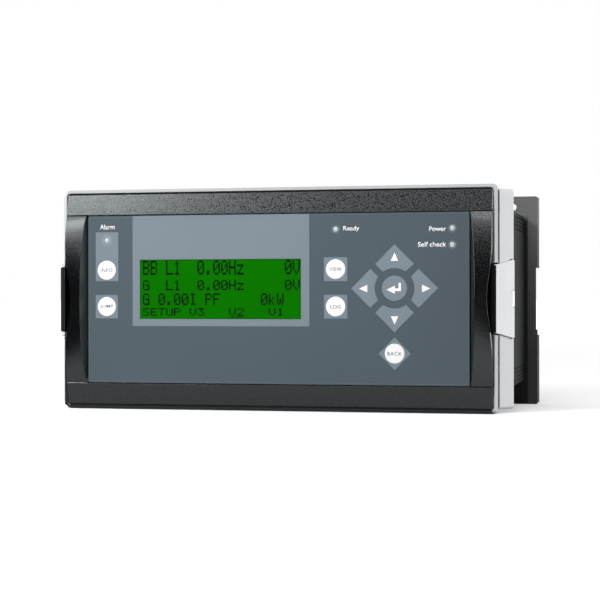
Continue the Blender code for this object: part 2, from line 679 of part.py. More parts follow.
def make_latches():
    """The side latches: a bent plate hinged at its rear edge, with a black thumb grip inside its nose."""
    for name, side in (("left", -1), ("right", 1)):
        flare, hinge = flare_axes(side), hinge_axes(side)
        origin = hinge.translation.copy()
        into_front = FRONT.inverted() @ flare
        outer = GAP + LATCH_THICKNESS
        bend, rear, rear_inner = (into_front @ Vector(point) for point in (
            (-LATCH_BEND, 0, outer), (BARREL_ALONG, 0, outer), (BARREL_ALONG, 0, GAP)))
        tip = Vector((side * LATCH_TIP_X, 0, -LATCH_TIP_PROUD))
        ahead, behind = (bend - tip).normalized(), (rear - bend).normalized()
        inward, rear_inward = Vector((-side * ahead.z, 0, side * ahead.x)), (rear_inner - rear).normalized()
        mitre = (inward + rear_inward) * LATCH_THICKNESS / (1 + inward.dot(rear_inward))
        plate_start = tip + ahead * (GRIP_NOSE + GAP)
        stations = ((plate_start, inward * LATCH_THICKNESS, LATCH_TIP_HALF), (bend, mitre, LATCH_BEND_HALF),
                    (rear, rear_inner - rear, LATCH_REAR_HALF))
        rings = []
        for point, thickness, half in stations:
            inner = point + thickness
            rings.append([(point.x, -half, point.z), (point.x, half, point.z),
                          (inner.x, half, inner.z), (inner.x, -half, inner.z)])
        latch = add(name + "_latch", loft(rings, FRONT), LOOKS["pale_grey"], origin)
        barrel_half = LATCH_REAR_HALF - GAP
        barrel = [rod(BARREL_RADIUS, (0, 0), -barrel_half, barrel_half, hinge, SMALL_STEPS)]
        shape(latch, name + "_barrel", barrel, "UNION")
        notch_half = KNUCKLE_HALF + GAP / 2
        clear = BARREL_RADIUS + GAP
        low = (BARREL_ALONG - clear, -notch_half, BARREL_OUT - 2 * clear)
        high = (BARREL_ALONG + 2 * clear, notch_half, BARREL_OUT + 2 * clear)
        shape(latch, name + "_notch", [block(low, high, flare)])
        bore_half = 2 * LATCH_REAR_HALF
        bore = [rod(PIN_RADIUS + PIN_CLEARANCE, (0, 0), -bore_half, bore_half, hinge, SMALL_STEPS)]
        shape(latch, name + "_bore", bore)
        pin_half = LATCH_REAR_HALF - 2 * GAP
        pin = rod(PIN_RADIUS, (0, 0), -pin_half, pin_half, hinge, SMALL_STEPS)
        add(name + "_latch_pin", pin, LOOKS["steel"])
        liner = LATCH_THICKNESS + GAP
        back = liner + GRIP_THICKNESS
        section = ((GRIP_ROUND, 0), (0, GRIP_ROUND), (0, back - GRIP_ROUND), (GRIP_ROUND, back),
                   (GRIP_LENGTH, back), (GRIP_LENGTH, liner), (GRIP_NOSE, liner), (GRIP_NOSE, 0))
        half = LATCH_TIP_HALF - GAP
        corners = [tip + ahead * along + inward * deep for along, deep in section]
        rings = [[(corner.x, z, corner.z) for corner in corners] for z in (-half, half)]
        add(name + "_thumb_grip", loft(rings, FRONT), LOOKS["rubber"], origin)


def terminal_places():
    """Middle of each terminal block along X, and the side of the box that it stands on."""
    return [(TERMINAL_SPACING * step, side) for side in (1, -1) for step in (-1, 0, 1)]


def make_terminals():
    """Terminal blocks in the channels above and below the box, with wire entries and clamp screw holes."""
    length = TERMINAL_WAYS * TERMINAL_PITCH
    far = PLATE_FRONT - TERMINAL_SETBACK
    near = far - TERMINAL_DEPTH
    low = BOX_HEIGHT / 2 + GAP
    high = low + TERMINAL_HEIGHT
    tongue = low - WALL - 2 * GAP
    names = {1: "top", -1: "bottom"}
    for x, side in terminal_places():
        place = FRONT @ Matrix.Diagonal((1, side, 1)).to_4x4()
        number = round(x / TERMINAL_SPACING) + 2
        half = length / 2 - GAP
        block_name = f"{names[side]}_terminal_block_{number}"
        body = add(block_name, block((x - half, low, near), (x + half, high, far), place), LOOKS["connector"])
        inset = TERMINAL_PITCH / 2
        root = half - inset
        shape(body, block_name + "_tongue",
              [block((x - root, tongue, near + inset), (x + root, low + GAP, far - inset), place)], "UNION")
        entries, clamps = [], []
        for way in range(TERMINAL_WAYS):
            middle = x + (way - (TERMINAL_WAYS - 1) / 2) * TERMINAL_PITCH
            left, right = middle - WIRE_ENTRY / 2, middle + WIRE_ENTRY / 2
            depth = near + WIRE_ENTRY_SETBACK
            entries.append(block((left, high - WIRE_HOLE_DEEP, depth - WIRE_ENTRY_DEPTH / 2),
                                 (right, high + GAP, depth + WIRE_ENTRY_DEPTH / 2), place))
            clamp = (middle, (low + high) / 2)
            clamps.append(rod(CLAMP_HOLE_RADIUS, clamp, near - GAP, near + CLAMP_HOLE_DEEP, place, CLAMP_STEPS))
        shape(body, block_name + "_holes", entries + clamps)


def make_box():
    """The relay box: a tube with a front flange, vents, terminal openings, ribbed sides and screw bosses."""
    half_x, half_z = BOX_WIDTH / 2, BOX_HEIGHT / 2
    box = add("chassis_box", prism(centred(half_x, half_z, BOX_RADIUS), FLANGE_FRONT + GAP, BOX_BACK, FRONT),
              LOOKS["smooth_black"])
    flange = centred(half_x + FLANGE_OVERHANG, FLANGE_HEIGHT / 2, BOX_RADIUS)
    shape(box, "box_flange", [prism(flange, FLANGE_FRONT, FLANGE_FRONT + FLANGE_THICKNESS, FRONT)], "UNION")
    inside = [block((WALL - half_x, WALL - half_z, 0), (half_x - WALL, half_z - WALL, DEPTH), FRONT)]
    shape(box, "box_inside", inside)
    centres = [(x, z) for x in (-SCREW_X, SCREW_X) for z in (-SCREW_Z, SCREW_Z)]
    boss_near, boss_far = BOX_BACK - BOSS_LENGTH, BOX_BACK - GAP / 2
    shape(box, "box_bosses",
          [rod(BOSS_RADIUS, centre, boss_near, boss_far, FRONT, SMALL_STEPS) for centre in centres], "UNION")
    hole_radius, hole_near = SCREW_RADIUS + PIN_CLEARANCE * 2, PLATE_FRONT - SCREW_LENGTH
    shape(box, "box_screw_holes",
          [rod(hole_radius, centre, hole_near, DEPTH, FRONT, SMALL_STEPS) for centre in centres])
    grooves, vents, openings = [], [], []
    rib_near, rib_far = FLANGE_FRONT + 2 * FLANGE_THICKNESS, BOX_BACK - FLANGE_THICKNESS
    for side in (-1, 1):
        low, high = sorted((side * (half_x - RIB_GROOVE_DEPTH), side * (half_x + FLANGE_OVERHANG * 2)))
        for edge in (-1, 1):
            for rib in range(RIB_COUNT):
                z = edge * (half_z - BOX_RADIUS - RIB_PITCH * (rib + 0.5))
                bottom, top = z - RIB_GROOVE / 2, z + RIB_GROOVE / 2
                grooves.append(block((low, bottom, rib_near), (high, top, rib_far), FRONT))
        wall_low, wall_high = sorted((side * (half_z - 2 * WALL), side * (half_z + WALL)))
        vent_near = FLANGE_FRONT + FLANGE_THICKNESS + 2 * VENT_WIDTH
        for slot in range(VENT_COUNT):
            x = (slot - (VENT_COUNT - 1) / 2) * VENT_PITCH
            vents.append(block((x - VENT_WIDTH / 2, wall_low, vent_near),
                               (x + VENT_WIDTH / 2, wall_high, vent_near + VENT_LENGTH), FRONT))
    far = PLATE_FRONT - TERMINAL_SETBACK - TERMINAL_PITCH / 2 + GAP
    near = far - TERMINAL_DEPTH + TERMINAL_PITCH - 2 * GAP
    half = (TERMINAL_WAYS - 1) * TERMINAL_PITCH / 2
    for x, side in terminal_places():
        wall_low, wall_high = sorted((side * (half_z - 2 * WALL), side * (half_z + WALL)))
        openings.append(block((x - half, wall_low, near), (x + half, wall_high, far), FRONT))
    shape(box, "box_grooves", grooves)
    shape(box, "box_vents", vents + openings)


def make_back_plate():
    """The mounting plate, with corner holes, a shallow notch in each side and the countersunk box screws."""
    low, high = (-PLATE_WIDTH / 2, -CENTRE_Z), (PLATE_WIDTH / 2, PLATE_HEIGHT - CENTRE_Z)
    outline = rounded_rectangle(low, high, PLATE_RADIUS)
    plate = add("back_plate", prism(outline, PLATE_FRONT, DEPTH, FRONT), LOOKS["dark_plate"])
    notches = []
    for side in (-1, 1):
        edge = PLATE_WIDTH / 2
        left, right = sorted((side * (edge - PLATE_NOTCH_DEPTH), side * (edge + PLATE_NOTCH_DEPTH)))
        notches.append(block((left, -PLATE_NOTCH_HALF, 0), (right, PLATE_NOTCH_HALF, 2 * DEPTH), FRONT))
    shape(plate, "plate_notches", notches)
    corners = [(side * x, z) for side in (-1, 1)
               for x, z in ((UPPER_HOLE_X, MOUNT_HOLE_Z), (LOWER_HOLE_X, -MOUNT_HOLE_Z))]
    shape(plate, "plate_mount_holes",
          [rod(MOUNT_HOLE_RADIUS, centre, 0, 2 * DEPTH, FRONT, SMALL_STEPS) for centre in corners])
    centres = [(x, z) for x in (-SCREW_X, SCREW_X) for z in (-SCREW_Z, SCREW_Z)]
    shape(plate, "plate_screw_holes",
          [rod(SCREW_RADIUS + GAP, centre, 0, 2 * DEPTH, FRONT, SMALL_STEPS) for centre in centres])
    head = SCREW_HEAD_RADIUS - SCREW_RADIUS
    sink = (DEPTH - head - GAP, DEPTH + GAP, FRONT, SMALL_STEPS, SCREW_HEAD_RADIUS + 2 * GAP)
    shape(plate, "plate_countersinks", [rod(SCREW_RADIUS, centre, *sink) for centre in centres])
    for number, centre in enumerate(centres, 1):
        profile = [(0, -GAP), (SCREW_HEAD_RADIUS, -GAP), (SCREW_RADIUS, -head - GAP),
                   (SCREW_RADIUS, -SCREW_LENGTH), (0, -SCREW_LENGTH)]
        screw = turned(f"box_screw_{number}", profile, LOOKS["steel"], centre, DEPTH, False)
        bars = {"level": (SCREW_SLOT_LENGTH, SCREW_SLOT), "upright": (SCREW_SLOT, SCREW_SLOT_LENGTH)}
        for bar, (wide, tall) in bars.items():
            low = (centre[0] - wide / 2, centre[1] - tall / 2, DEPTH - GAP - SCREW_SLOT_DEEP)
            high = (centre[0] + wide / 2, centre[1] + tall / 2, DEPTH + GAP)
            shape(screw, f"{bar}_slot_{number}", [block(low, high, FRONT)])


def make_inner_parts():
    """The main and processor boards on their pillars, with the supply parts and the output relays."""
    half_x, half_z = BOX_WIDTH / 2 - WALL - BOARD_MARGIN, BOX_HEIGHT / 2 - WALL - BOARD_MARGIN
    corner = BOX_WIDTH / 2 - SCREW_X + BOSS_RADIUS
    board_x = half_x - corner
    pillars = [(x, z) for x in (-PILLAR_X, PILLAR_X) for z in (-PILLAR_Z, PILLAR_Z)]
    outline = centred(board_x, half_z, BOX_RADIUS)
    main = add("main_board", prism(outline, MAIN_BOARD_FRONT, MAIN_BOARD_BACK, FRONT), LOOKS["board"])
    shape(main, "main_board_holes",
          [rod(PILLAR_RADIUS + GAP, centre, 0, DEPTH, FRONT, SMALL_STEPS) for centre in pillars])
    add("processor_board", prism(outline, PROCESSOR_FRONT, PROCESSOR_BACK, FRONT), LOOKS["board"])
    length = PLATE_FRONT - GAP - PROCESSOR_BACK - GAP
    profile = [(0, length), (PILLAR_RADIUS, length), (PILLAR_RADIUS, PILLAR_SHOULDER),
               (PILLAR_SHOULDER_RADIUS, PILLAR_SHOULDER), (PILLAR_SHOULDER_RADIUS, 0), (0, 0)]
    for number, centre in enumerate(pillars, 1):
        turned(f"board_pillar_{number}", profile, LOOKS["steel"], centre, PLATE_FRONT - GAP, True)
    top = MAIN_BOARD_FRONT - GAP
    width, height, tall = RELAY_SIZE
    for number in (1, 2, 3):
        left = PILLAR_X - PILLAR_SHOULDER_RADIUS - width * 3 / 2 - RELAY_PITCH * (number - 1)
        outline = rounded_rectangle((left, PILLAR_Z - height * 2), (left + width, PILLAR_Z - height), GAP * 2)
        add(f"output_relay_{number}", prism(outline, top - tall, top, FRONT), LOOKS["connector"])
    width, height, tall = TRANSFORMER_SIZE
    left = -PILLAR_X + PILLAR_SHOULDER_RADIUS * 2
    core = block((left, -height / 2, top - tall), (left + width, height / 2, top), FRONT)
    transformer = add("supply_transformer", core, LOOKS["steel"])
    coil_half, coil_inset = height / 2 + COIL_OVERHANG, COIL_OVERHANG / 2
    coil = block((left + width / 4, -coil_half, top - tall + coil_inset),
                 (left + width * 3 / 4, coil_half, top - coil_inset), FRONT)
    shape(transformer, "transformer_coil", [coil], "UNION")
    radius, length, rim = CAPACITOR_RADIUS, CAPACITOR_LENGTH, CAPACITOR_RIM
    profile = [(0, length - rim), (radius - 2 * rim, length - rim), (radius - 2 * rim, length),
               (radius - rim, length), (radius, length - rim), (radius, 3 * rim),
               (radius - rim, 2 * rim), (radius, rim), (radius, 0), (0, 0)]
    turned("supply_capacitor", profile, LOOKS["connector"], (left + width + 2 * radius, 0), top, True)


clear_scene()
PARTS = new_collection("protection_relay")
CUTTERS = new_collection("cutters")
LOOKS = {
    "textured_black": material("textured_black", (0.010, 0.011, 0.012), 0.45),
    "smooth_black": material("smooth_black", (0.010, 0.011, 0.012), 0.40),
    "dark_plate": material("dark_plate", (0.050, 0.052, 0.053), 0.45),
    "pale_grey": material("pale_grey", (0.66, 0.67, 0.68), 0.45),
    "slate": material("slate", (0.090, 0.120, 0.140), 0.50),
    "blue_grey": material("blue_grey", (0.250, 0.300, 0.340), 0.50),
    "white_key": material("white_key", (0.90, 0.91, 0.91), 0.45),
    "lamp": material("lamp", (0.52, 0.60, 0.62), 0.30),
    "display_green": material("display_green", (0.010, 0.260, 0.004), 0.20),
    "rubber": material("rubber", (0.012, 0.012, 0.013), 0.80),
    "board": material("board", (0.020, 0.120, 0.050), 0.50),
    "connector": material("connector", (0.030, 0.032, 0.034), 0.50),
    "ribbon": material("ribbon", (0.30, 0.31, 0.33), 0.60),
    "steel": material("steel", (0.55, 0.56, 0.57), 0.35, 1.0),
}
make_rails()
make_cheeks()
make_tray()
make_panel()
make_display()
make_keys()
make_lamps()
make_key_mat()
make_display_boards()
make_gasket()
make_frame()
make_latches()
make_box()
make_terminals()
make_back_plate()
make_inner_parts()
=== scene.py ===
"""Looks for the protection relay: foil, lettering, display text, small hardware, finishes, light and camera.

Tables of print and trim are in millimetres: x from the middle of the head, heights from its middle, and depths
back from its face. Finishes, light and camera are in metres.
"""

import math

import bmesh
import bpy
from mathutils import Matrix, Vector


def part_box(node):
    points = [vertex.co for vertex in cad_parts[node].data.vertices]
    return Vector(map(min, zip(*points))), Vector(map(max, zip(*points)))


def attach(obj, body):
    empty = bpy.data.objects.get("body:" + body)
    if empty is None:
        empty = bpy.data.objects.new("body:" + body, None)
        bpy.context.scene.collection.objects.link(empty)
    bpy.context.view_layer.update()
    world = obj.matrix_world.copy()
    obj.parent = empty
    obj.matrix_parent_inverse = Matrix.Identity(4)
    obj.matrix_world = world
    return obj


MM = 0.001
HEAD_MIDDLE = 0.058
FACE_Y = -0.04275
ROUND_STEPS = 64
CORNER_STEPS = 5

# Foil and printed fields, in millimetres
FOIL_NEAR = 0.72
FOIL_THICKNESS = 0.075
FIELD_NEAR = 0.70
FIELD_THICKNESS = 0.02
INK_THICKNESS = 0.012
KEY_FACE = 0.50
HOLE_CLEARANCE = 0.05
FOIL_INSET = 0.12
FOIL_RIGHT_INSET = 0.35
FOIL_CORNER = 0.7
# A lighter line round the panel's edge that paints a highlight: its insets, and its corner radius below
EDGE_PAINTED_HIGHLIGHT = (0.5, 0.9)
EDGE_PAINTED_HIGHLIGHT_CORNER = 0.5
DISPLAY_MARGIN = 0.1
DISPLAY_FIELD = (-76.6, -14.07, 18.8, 43.83)
ALARM_FIELD = (-97.1, 9.6, -84.6, 35.4)
KEY_FIELDS = {
    "jump_field": ("jump_key", 6.15, 0),
    "view_field": ("view_key", 6.08, 0),
    "log_field": ("log_key", 6.05, 0),
    "back_field": ("back_key", 5.87, 45),
}
ROUND_KEY_RADIUS = 5.1
ENTER_RADIUS = 6.6
ARROW_KEYS = ("up_key", "left_key", "down_key", "right_key")
LAMPS = ("alarm_lamp", "ready_lamp", "power_lamp", "self_check_lamp")
LAMP_RADIUS = 1.5
LAMP_STEPS = 24
LAMP_NEAR = 0.7
PAD_REACH = 22.5
PAD_SLOT = 3.35
PAD_RING = 10.2
PAD_STEPS = 16

# Display text: 20 columns of a 5 by 7 dot font, with each row's top and bottom
DOT_NEAR = 0.9
DOT_FAR = 0.92
DOT_SHARE = 1.04
FONT_COLUMNS = 5
FONT_ROWS = 7
TEXT_LEFT = -71.05
COLUMN_PITCH = 4.27
CHARACTER_WIDTH = 3.62
TEXT_ROWS = (
    ("BB L1  0.00Hz     0V", 20.2, 12.7),
    ("G  L1  0.00Hz     0V", 9.95, 4.65),
    ("G 0.00I PF     0kW", 3.0, -3.05),
    ("SETUP V3   V2   V1", -4.75, -8.65),
)
UNDERLINE = (11, 13, -9.05, -9.45)
FONT = {
    "B": "11110 10001 10001 11110 10001 10001 11110",
    "L": "10000 10000 10000 10000 10000 10000 11111",
    "1": "00100 01100 00100 00100 00100 00100 01110",
    "0": "01110 10001 10011 10101 11001 10001 01110",
    ".": "00000 00000 00000 00000 00000 01100 01100",
    "H": "10001 10001 10001 11111 10001 10001 10001",
    "z": "00000 00000 11111 00010 00100 01000 11111",
    "V": "10001 10001 10001 10001 10001 01010 00100",
    "G": "01110 10001 10000 10111 10001 10001 01111",
    "I": "01110 00100 00100 00100 00100 00100 01110",
    "P": "11110 10001 10001 11110 10000 10000 10000",
    "F": "11111 10000 10000 11110 10000 10000 10000",
    "k": "10000 10000 10010 10100 11000 10100 10010",
    "W": "10001 10001 10001 10101 10101 10101 01010",
    "S": "01111 10000 10000 01110 00001 00001 11110",
    "E": "11111 10000 10000 11110 10000 10000 11111",
    "T": "11111 00100 00100 00100 00100 00100 00100",
    "U": "10001 10001 10001 10001 10001 10001 01110",
    "3": "11111 00010 00100 00010 00001 10001 01110",
    "2": "01110 10001 00001 00010 00100 01000 11111",
}

# Lettering: text and the box that its ink fills (left, bottom, right, top)
PANEL_WORDS = {
    "alarm_word": ("Alarm", (-94.8, 36.85, -86.5, 39.5)),
    "ready_word": ("Ready", (36.6, 34.3, 45.0, 37.3)),
    "power_word": ("Power", (80.9, 34.2, 89.6, 36.65)),
    "self_check_word": ("Self check", (75.2, 26.3, 89.7, 28.85)),
}
KEY_WORDS = {
    "info_key": ("INFO", 6.4, 1.95),
    "jump_key": ("JUMP", 7.2, 1.95),
    "view_key": ("VIEW", 6.3, 1.85),
    "log_key": ("LOG", 5.4, 1.85),
    "back_key": ("BACK", 7.3, 1.9),
}
TEXT_STEPS = 6
WORD_WEIGHT = 0.02
KEY_WORD_WEIGHT = 0.005
KEY_WORD_SPACING = 1.12
ARROW_MIDDLE = 16.2
ARROW_HEIGHT = 4.3
ARROW_BASE = 3.9
RETURN_ARROW = ((-4.2, -0.6), (0.15, -2.65), (0.15, -1.3), (3.3, -1.3), (3.3, 2.9), (2.05, 2.9), (2.05, 0.1),
                (0.15, 0.1), (0.15, 1.45))

# Trim: dark strips that paint the shade in the gaps round the rails, a dark sheet that paints the shade on the
# pale rim (left, inner, right, bottom, raised, top), a lighter seam line that paints a highlight (left, right,
# bottom, top), the plate's edge strips, lighter as a painted highlight, given by heights above the floor, crest
# lines that paint a highlight, whose fades are in metres, and white hinge sleeves that paint a highlight on the
# knuckles
SEAM_CLEARANCE = 0.04
SEAM_HEIGHT = 0.70
SEAM_END = 1.2
SEAM_NEAR = 2.0
SEAM_THICKNESS = 0.4
PAINTED_RIM_SHADE = (-114.9, -113.25, 112.6, -57.75, -56.1, 52.0)
RIM_TAPER = 34.0
RIM_CORNER = (3.6, 2.0)
RIM_FILL = 0.8
RIM_SHADE_NEAR = 1.62
RIM_SHADE_THICKNESS = 0.06
SEAM_HIGHLIGHT = (-113.0, -101.8, -44.38, -44.10)
SEAM_LINE_NEAR = -0.1
SEAM_LINE_THICKNESS = 0.04
PLATE_EDGE_WIDTH = 0.9
PLATE_EDGE_DEPTH = 1.6
PLATE_EDGE_HEIGHTS = ((1.0, 38.2), (74.7, 113.5))
CREST_PLACES = (101.7, 105.0)
CREST_RADIUS = 0.11
CREST_FADE = (0.056, 0.076)
SCALLOP_RADIUS = 0.09
SCALLOP_FADE = (0.028, 0.012)
SLEEVE_RADIUS = 1.36
SLEEVE_HALF = 4.2

# Terminal hardware
TERMINAL_WAYS = 12
TERMINAL_PITCH = 5.08
TERMINAL_BODY = 9.8
CLAMP_SCREW_RADIUS = 1.35
CLAMP_SCREW_SUNK = 0.9
CLAMP_SCREW_LENGTH = 1.6
CLAMP_SLOT = 0.45
CLAMP_STEPS = 10
CAGE_WALL = 0.35
CAGE_HALF_WIDTH = 1.45
CAGE_HALF_DEPTH = 2.1
CAGE_SUNK = 2.2
CAGE_LENGTH = 2.8
ENTRY_SETBACK = 9.0

# CAD nodes: widths of their rounded edges, and finishes that differ from their slot
EDGE_WIDTHS = {
    "front_tray": 0.00025, "rear_frame": 0.0003, "top_rail": 0.0002, "bottom_rail": 0.0002,
    "left_cheek": 0.00025, "right_cheek": 0.00025, "left_latch": 0.0002, "right_latch": 0.0002,
    "left_thumb_grip": 0.0001, "right_thumb_grip": 0.0001, "back_plate": 0.00025, "panel_gasket": 0.0002,
}
EDGE_SEGMENTS = 2
SHARP_ANGLE = math.radians(32)
FLAT_ANGLE = math.radians(0.3)
WELD_DISTANCE = 2e-6
CURVE_WELD = 1e-7
OWN_LOOKS = {
    "left_latch": "latch_grey_painted_light", "right_latch": "latch_grey_painted_light", "left_thumb_grip": "grip_painted_light",
    "right_thumb_grip": "grip_painted_shade", "left_cheek": "left_cheek_black", "right_cheek": "cheek_black",
    "bottom_rail": "low_rail_black", "chassis_box": "box_black", "front_tray": "tray_grey_painted_shade",
}

# Finishes: what look_of is given for each
GRAINED = {"speckle": 0.4, "bump": 0.9, "octaves": 2.6, "wear": 0.25, "wear_shade": 2.2,
           "gloss_tint": (0.92, 0.99, 1.0)}
SHEET = {"colour": (0.004, 0.0044, 0.0048), "roughness": 0.72, "specular": 0.12, "grain": 2600.0, "speckle": 0.2,
         "bump": 0.2, "wear": 0.35, "wear_shade": 2.5, "rounding": 0.0002}
PALE = {"roughness": 0.5, "specular": 0.3, "grain": 2200.0, "speckle": 0.03, "cloud": 0.06, "bump": 0.2,
        "wear": 0.3}
FINISHES = {
    "textured_black": dict(GRAINED, colour=(0.0038, 0.0042, 0.0046), roughness=0.31, specular=0.75, grain=1500.0,
                           bump_height=0.00004, rough_spread=0.26, left_share=0.35),
    "low_rail_black": dict(GRAINED, colour=(0.0038, 0.0042, 0.0046), roughness=0.31, specular=0.60, grain=1500.0,
                           bump_height=0.00004, rough_spread=0.09),
    "left_cheek_black": dict(GRAINED, colour=(0.0032, 0.0036, 0.0040), roughness=0.35, specular=0.60,
                             grain=1500.0, bump_height=0.00008, rough_spread=0.08, polish=0.35, rough_facet=True),
    "cheek_black": dict(GRAINED, colour=(0.0032, 0.0036, 0.0040), roughness=0.36, specular=0.68, grain=1700.0,
                        bump_height=0.00005, rough_spread=0.26, polish=0.35),
    "smooth_black": SHEET,
    # The box is painted lighter near the front, standing in for the light that falls there
    "box_black": dict(SHEET, front_painted_light=7.0),
    # Black of the sheet that paints the shade on the pale rim
    "rim_painted_shade_black": dict(colour=(0.006, 0.0065, 0.007), roughness=0.4, specular=0.4, grain=1400.0, speckle=0.3,
                      bump=0.4),
    # Pale strip that paints a highlight at the left seam
    "seam_painted_highlight": dict(colour=(0.40, 0.41, 0.41), roughness=0.5, specular=0.3, grain=600.0, speckle=0.9,
                       bump=0.1),
    # Grey of the lines that paint a highlight along the right cheek's crest and scallop
    "crest_highlight_grey": dict(colour=(0.16, 0.165, 0.165), roughness=0.5, specular=0.3, grain=1600.0, speckle=0.95,
                       bump=0.3),
    # Lighter grey of the plate's edge strips, a painted highlight
    "edge_highlight_grey": dict(colour=(0.26, 0.27, 0.262), roughness=0.5, specular=0.3, grain=900.0, speckle=0.25,
                      bump=0.2),
    # The tray and latches share the frame's pale grey, painted darker on the tray and lighter on the latches for
    # how light falls on them
    "tray_grey_painted_shade": dict(PALE, colour=(0.51, 0.517, 0.526), wear_shade=1.2),
    "pale_grey": dict(PALE, colour=(0.63, 0.638, 0.648), wear_shade=1.2),
    "latch_grey_painted_light": dict(PALE, colour=(0.74, 0.745, 0.755), wear_shade=1.15),
    # The two thumb grips are one black material, painted darker on the right grip and lighter on the left for how
    # light falls on them
    "grip_painted_shade": dict(colour=(0.002, 0.002, 0.0022), roughness=0.5, specular=0.06, grain=1800.0, speckle=0.15,
                      bump=0.4),
    "grip_painted_light": dict(colour=(0.005, 0.005, 0.0055), roughness=0.45, specular=0.3, grain=1800.0, speckle=0.15,
                       bump=0.4),
    "slate": dict(colour=(0.092, 0.125, 0.150), roughness=0.5, grain=2400.0),
    "blue_grey": dict(colour=(0.240, 0.292, 0.335), roughness=0.48, specular=0.22, grain=3200.0, speckle=0.04,
                      cloud=0.04, bump=0.1),
    # White keys glow a little as painted light
    "white_key": dict(colour=(0.97, 0.975, 0.975), roughness=0.45, specular=0.4, glow=0.08, grain=3000.0,
                      speckle=0.01, cloud=0.01, bump=0.08),
    "lamp": dict(colour=(0.58, 0.66, 0.69), roughness=0.3, specular=0.5, grain=3500.0, speckle=0.06, bump=0.15,
                 glow=0.08),
    "rubber": dict(colour=(0.006, 0.006, 0.0065), roughness=0.75, specular=0.2, grain=1800.0, speckle=0.15,
                   bump=0.4),
    "connector": dict(colour=(0.030, 0.032, 0.034), roughness=0.45, grain=2400.0, speckle=0.12, bump=0.25,
                      wear=0.3, rounding=0.00015),
    "steel": dict(colour=(0.55, 0.56, 0.57), roughness=0.32, metallic=1.0, grain=2800.0, speckle=0.08, bump=0.2,
                  wear=0.4, wear_shade=1.3),
    # White ink glows a little as painted light
    "white_ink": dict(colour=(0.97, 0.975, 0.975), roughness=0.5, specular=0.3, grain=5000.0, speckle=0.02,
                      bump=0.05, glow=0.12),
    "grey_ink": dict(colour=(0.13, 0.14, 0.15), roughness=0.5, specular=0.3, grain=5000.0, speckle=0.05,
                     bump=0.05),
    # Lighter line round the panel that paints a highlight
    "edge_painted_highlight": dict(colour=(0.115, 0.150, 0.172), roughness=0.5, specular=0.22, grain=3200.0, speckle=0.06,
                      bump=0.1),
    "display_dots": dict(colour=(0.0015, 0.010, 0.002), roughness=0.5, specular=0.05, grain=4000.0, speckle=0.1,
                         bump=0.05),
}
PLATE_COLOUR = (0.075, 0.076, 0.076)
DISPLAY_COLOUR = (0.0045, 0.185, 0.0006)
BOARD_COLOUR = (0.020, 0.120, 0.050)
RIBBON_COLOUR = (0.30, 0.31, 0.33)
FOIL_COLOUR = (0.092, 0.122, 0.143)
FIELD_COLOUR = (0.232, 0.282, 0.328)

# Patterns of the finishes: noise is (scale, detail, roughness), a speckle, cloud or shades are shares of a colour,
# a gloss is the lowest and highest roughness, and a relief is its strength and its height in metres
GRAIN_ROUGHNESS = 0.6
CLOUD_SCALE = 30.0
CLOUD_NOISE = (3.0, 0.5)
EDGE_SAMPLES = 6
ROUNDING_SAMPLES = 4
WEAR_REACH = 0.0004
WEAR_EDGES = (0.80, 0.99)
WEAR_SCALE = 400.0
WEAR_PATCHES = (0.35, 0.65)
PLATE_GRAIN = 2200.0
PLATE_SPECKLE = (0.92, 1.08)
PLATE_GLOSS = (0.42, 0.52)
PLATE_SPECULAR = 0.3
PLATE_RELIEF = (0.2, 0.00003)
PLATE_WEAR = 0.4
PLATE_WEAR_SHADE = 2.0
FOIL_NOISE = (5200.0, 4.0, 0.65)
FOIL_CLOUD_NOISE = (18.0, 2.0, 0.5)
FOIL_SPECKLE = (0.965, 1.035)
FOIL_GLOSS = (0.42, 0.5)
FOIL_SPECULAR = 0.22
FOIL_WAVES = (900.0, 2.0)
FOIL_RELIEF = (0.06, 0.00002)
LAMP_EDGE = 0.0013
LAMP_MIX = 0.55
LAMP_TONE = (0.42, 0.49, 0.53, 1.0)
FOIL_HALO = 0.0011
FIELD_HALO = 0.0021
FOIL_CLOUD = (0.95, 0.955, 0.96, 1.0)
GRID_HALF_PITCH = 0.00033
GRID_HALF_LINE = 0.00009
GRID_SHADES = (0.90, 1.02)
# Where the display is painted darker as the shade of its window's edge, and how dark
DISPLAY_RIM = (0.0428, 0.0437, 0.0149, 0.0158)
DISPLAY_RIM_PAINTED_SHADE = 0.62
DISPLAY_CLOUD_NOISE = (22.0, 2.0)
DISPLAY_CLOUD = (0.94, 1.06)
DISPLAY_GRAIN = 3000.0
DISPLAY_GLOSS = (0.3, 0.42)
TRACK_SCALE = 180.0
TRACK_GAP = 0.03
TRACK_SHADE = 1.7
PAD_SCALE = 260.0
PAD_JITTER = 0.25
PAD_EDGE = (0.12, 0.2)
PAD_TONE = (0.62, 0.60, 0.52, 1.0)
BOARD_GRAIN = 500.0
BOARD_GLOSS = (0.3, 0.45)
BOARD_RELIEF = (0.2, 0.00004)
WIRE_HALF_PITCH = 0.00064
WIRE_SHADES = (0.45, 1.15)
RIBBON_GRAIN = 700.0
RIBBON_GLOSS = (0.5, 0.65)
RIBBON_RELIEF = (0.8, 0.0003)
POLISHED_HEIGHTS = (0.006, 0.036)
POLISHED_BELOW = 0.38
LEFT_SHARE_PLACES = (-0.105, -0.03)
FACET_PLACES = (0.1040, 0.1048)
# Depths over which the box is painted lighter towards the front, as painted light
FRONT_PAINTED_LIGHT_DEPTHS = (-0.018, 0.030)
# Painted light on the back plate by height, and its painted shadow in the corner beside the box
PLATE_PAINTED_LIGHT = (0.75, 2.0)
PLATE_PAINTED_LIGHT_HEIGHTS = (0.030, 0.100)
CORNER_PAINTED_SHADOW = 0.06
CORNER_SHADOW_REACH = (0.0009, 0.0017)
CORNER_SHADOW_TOP = (0.100, 0.104)

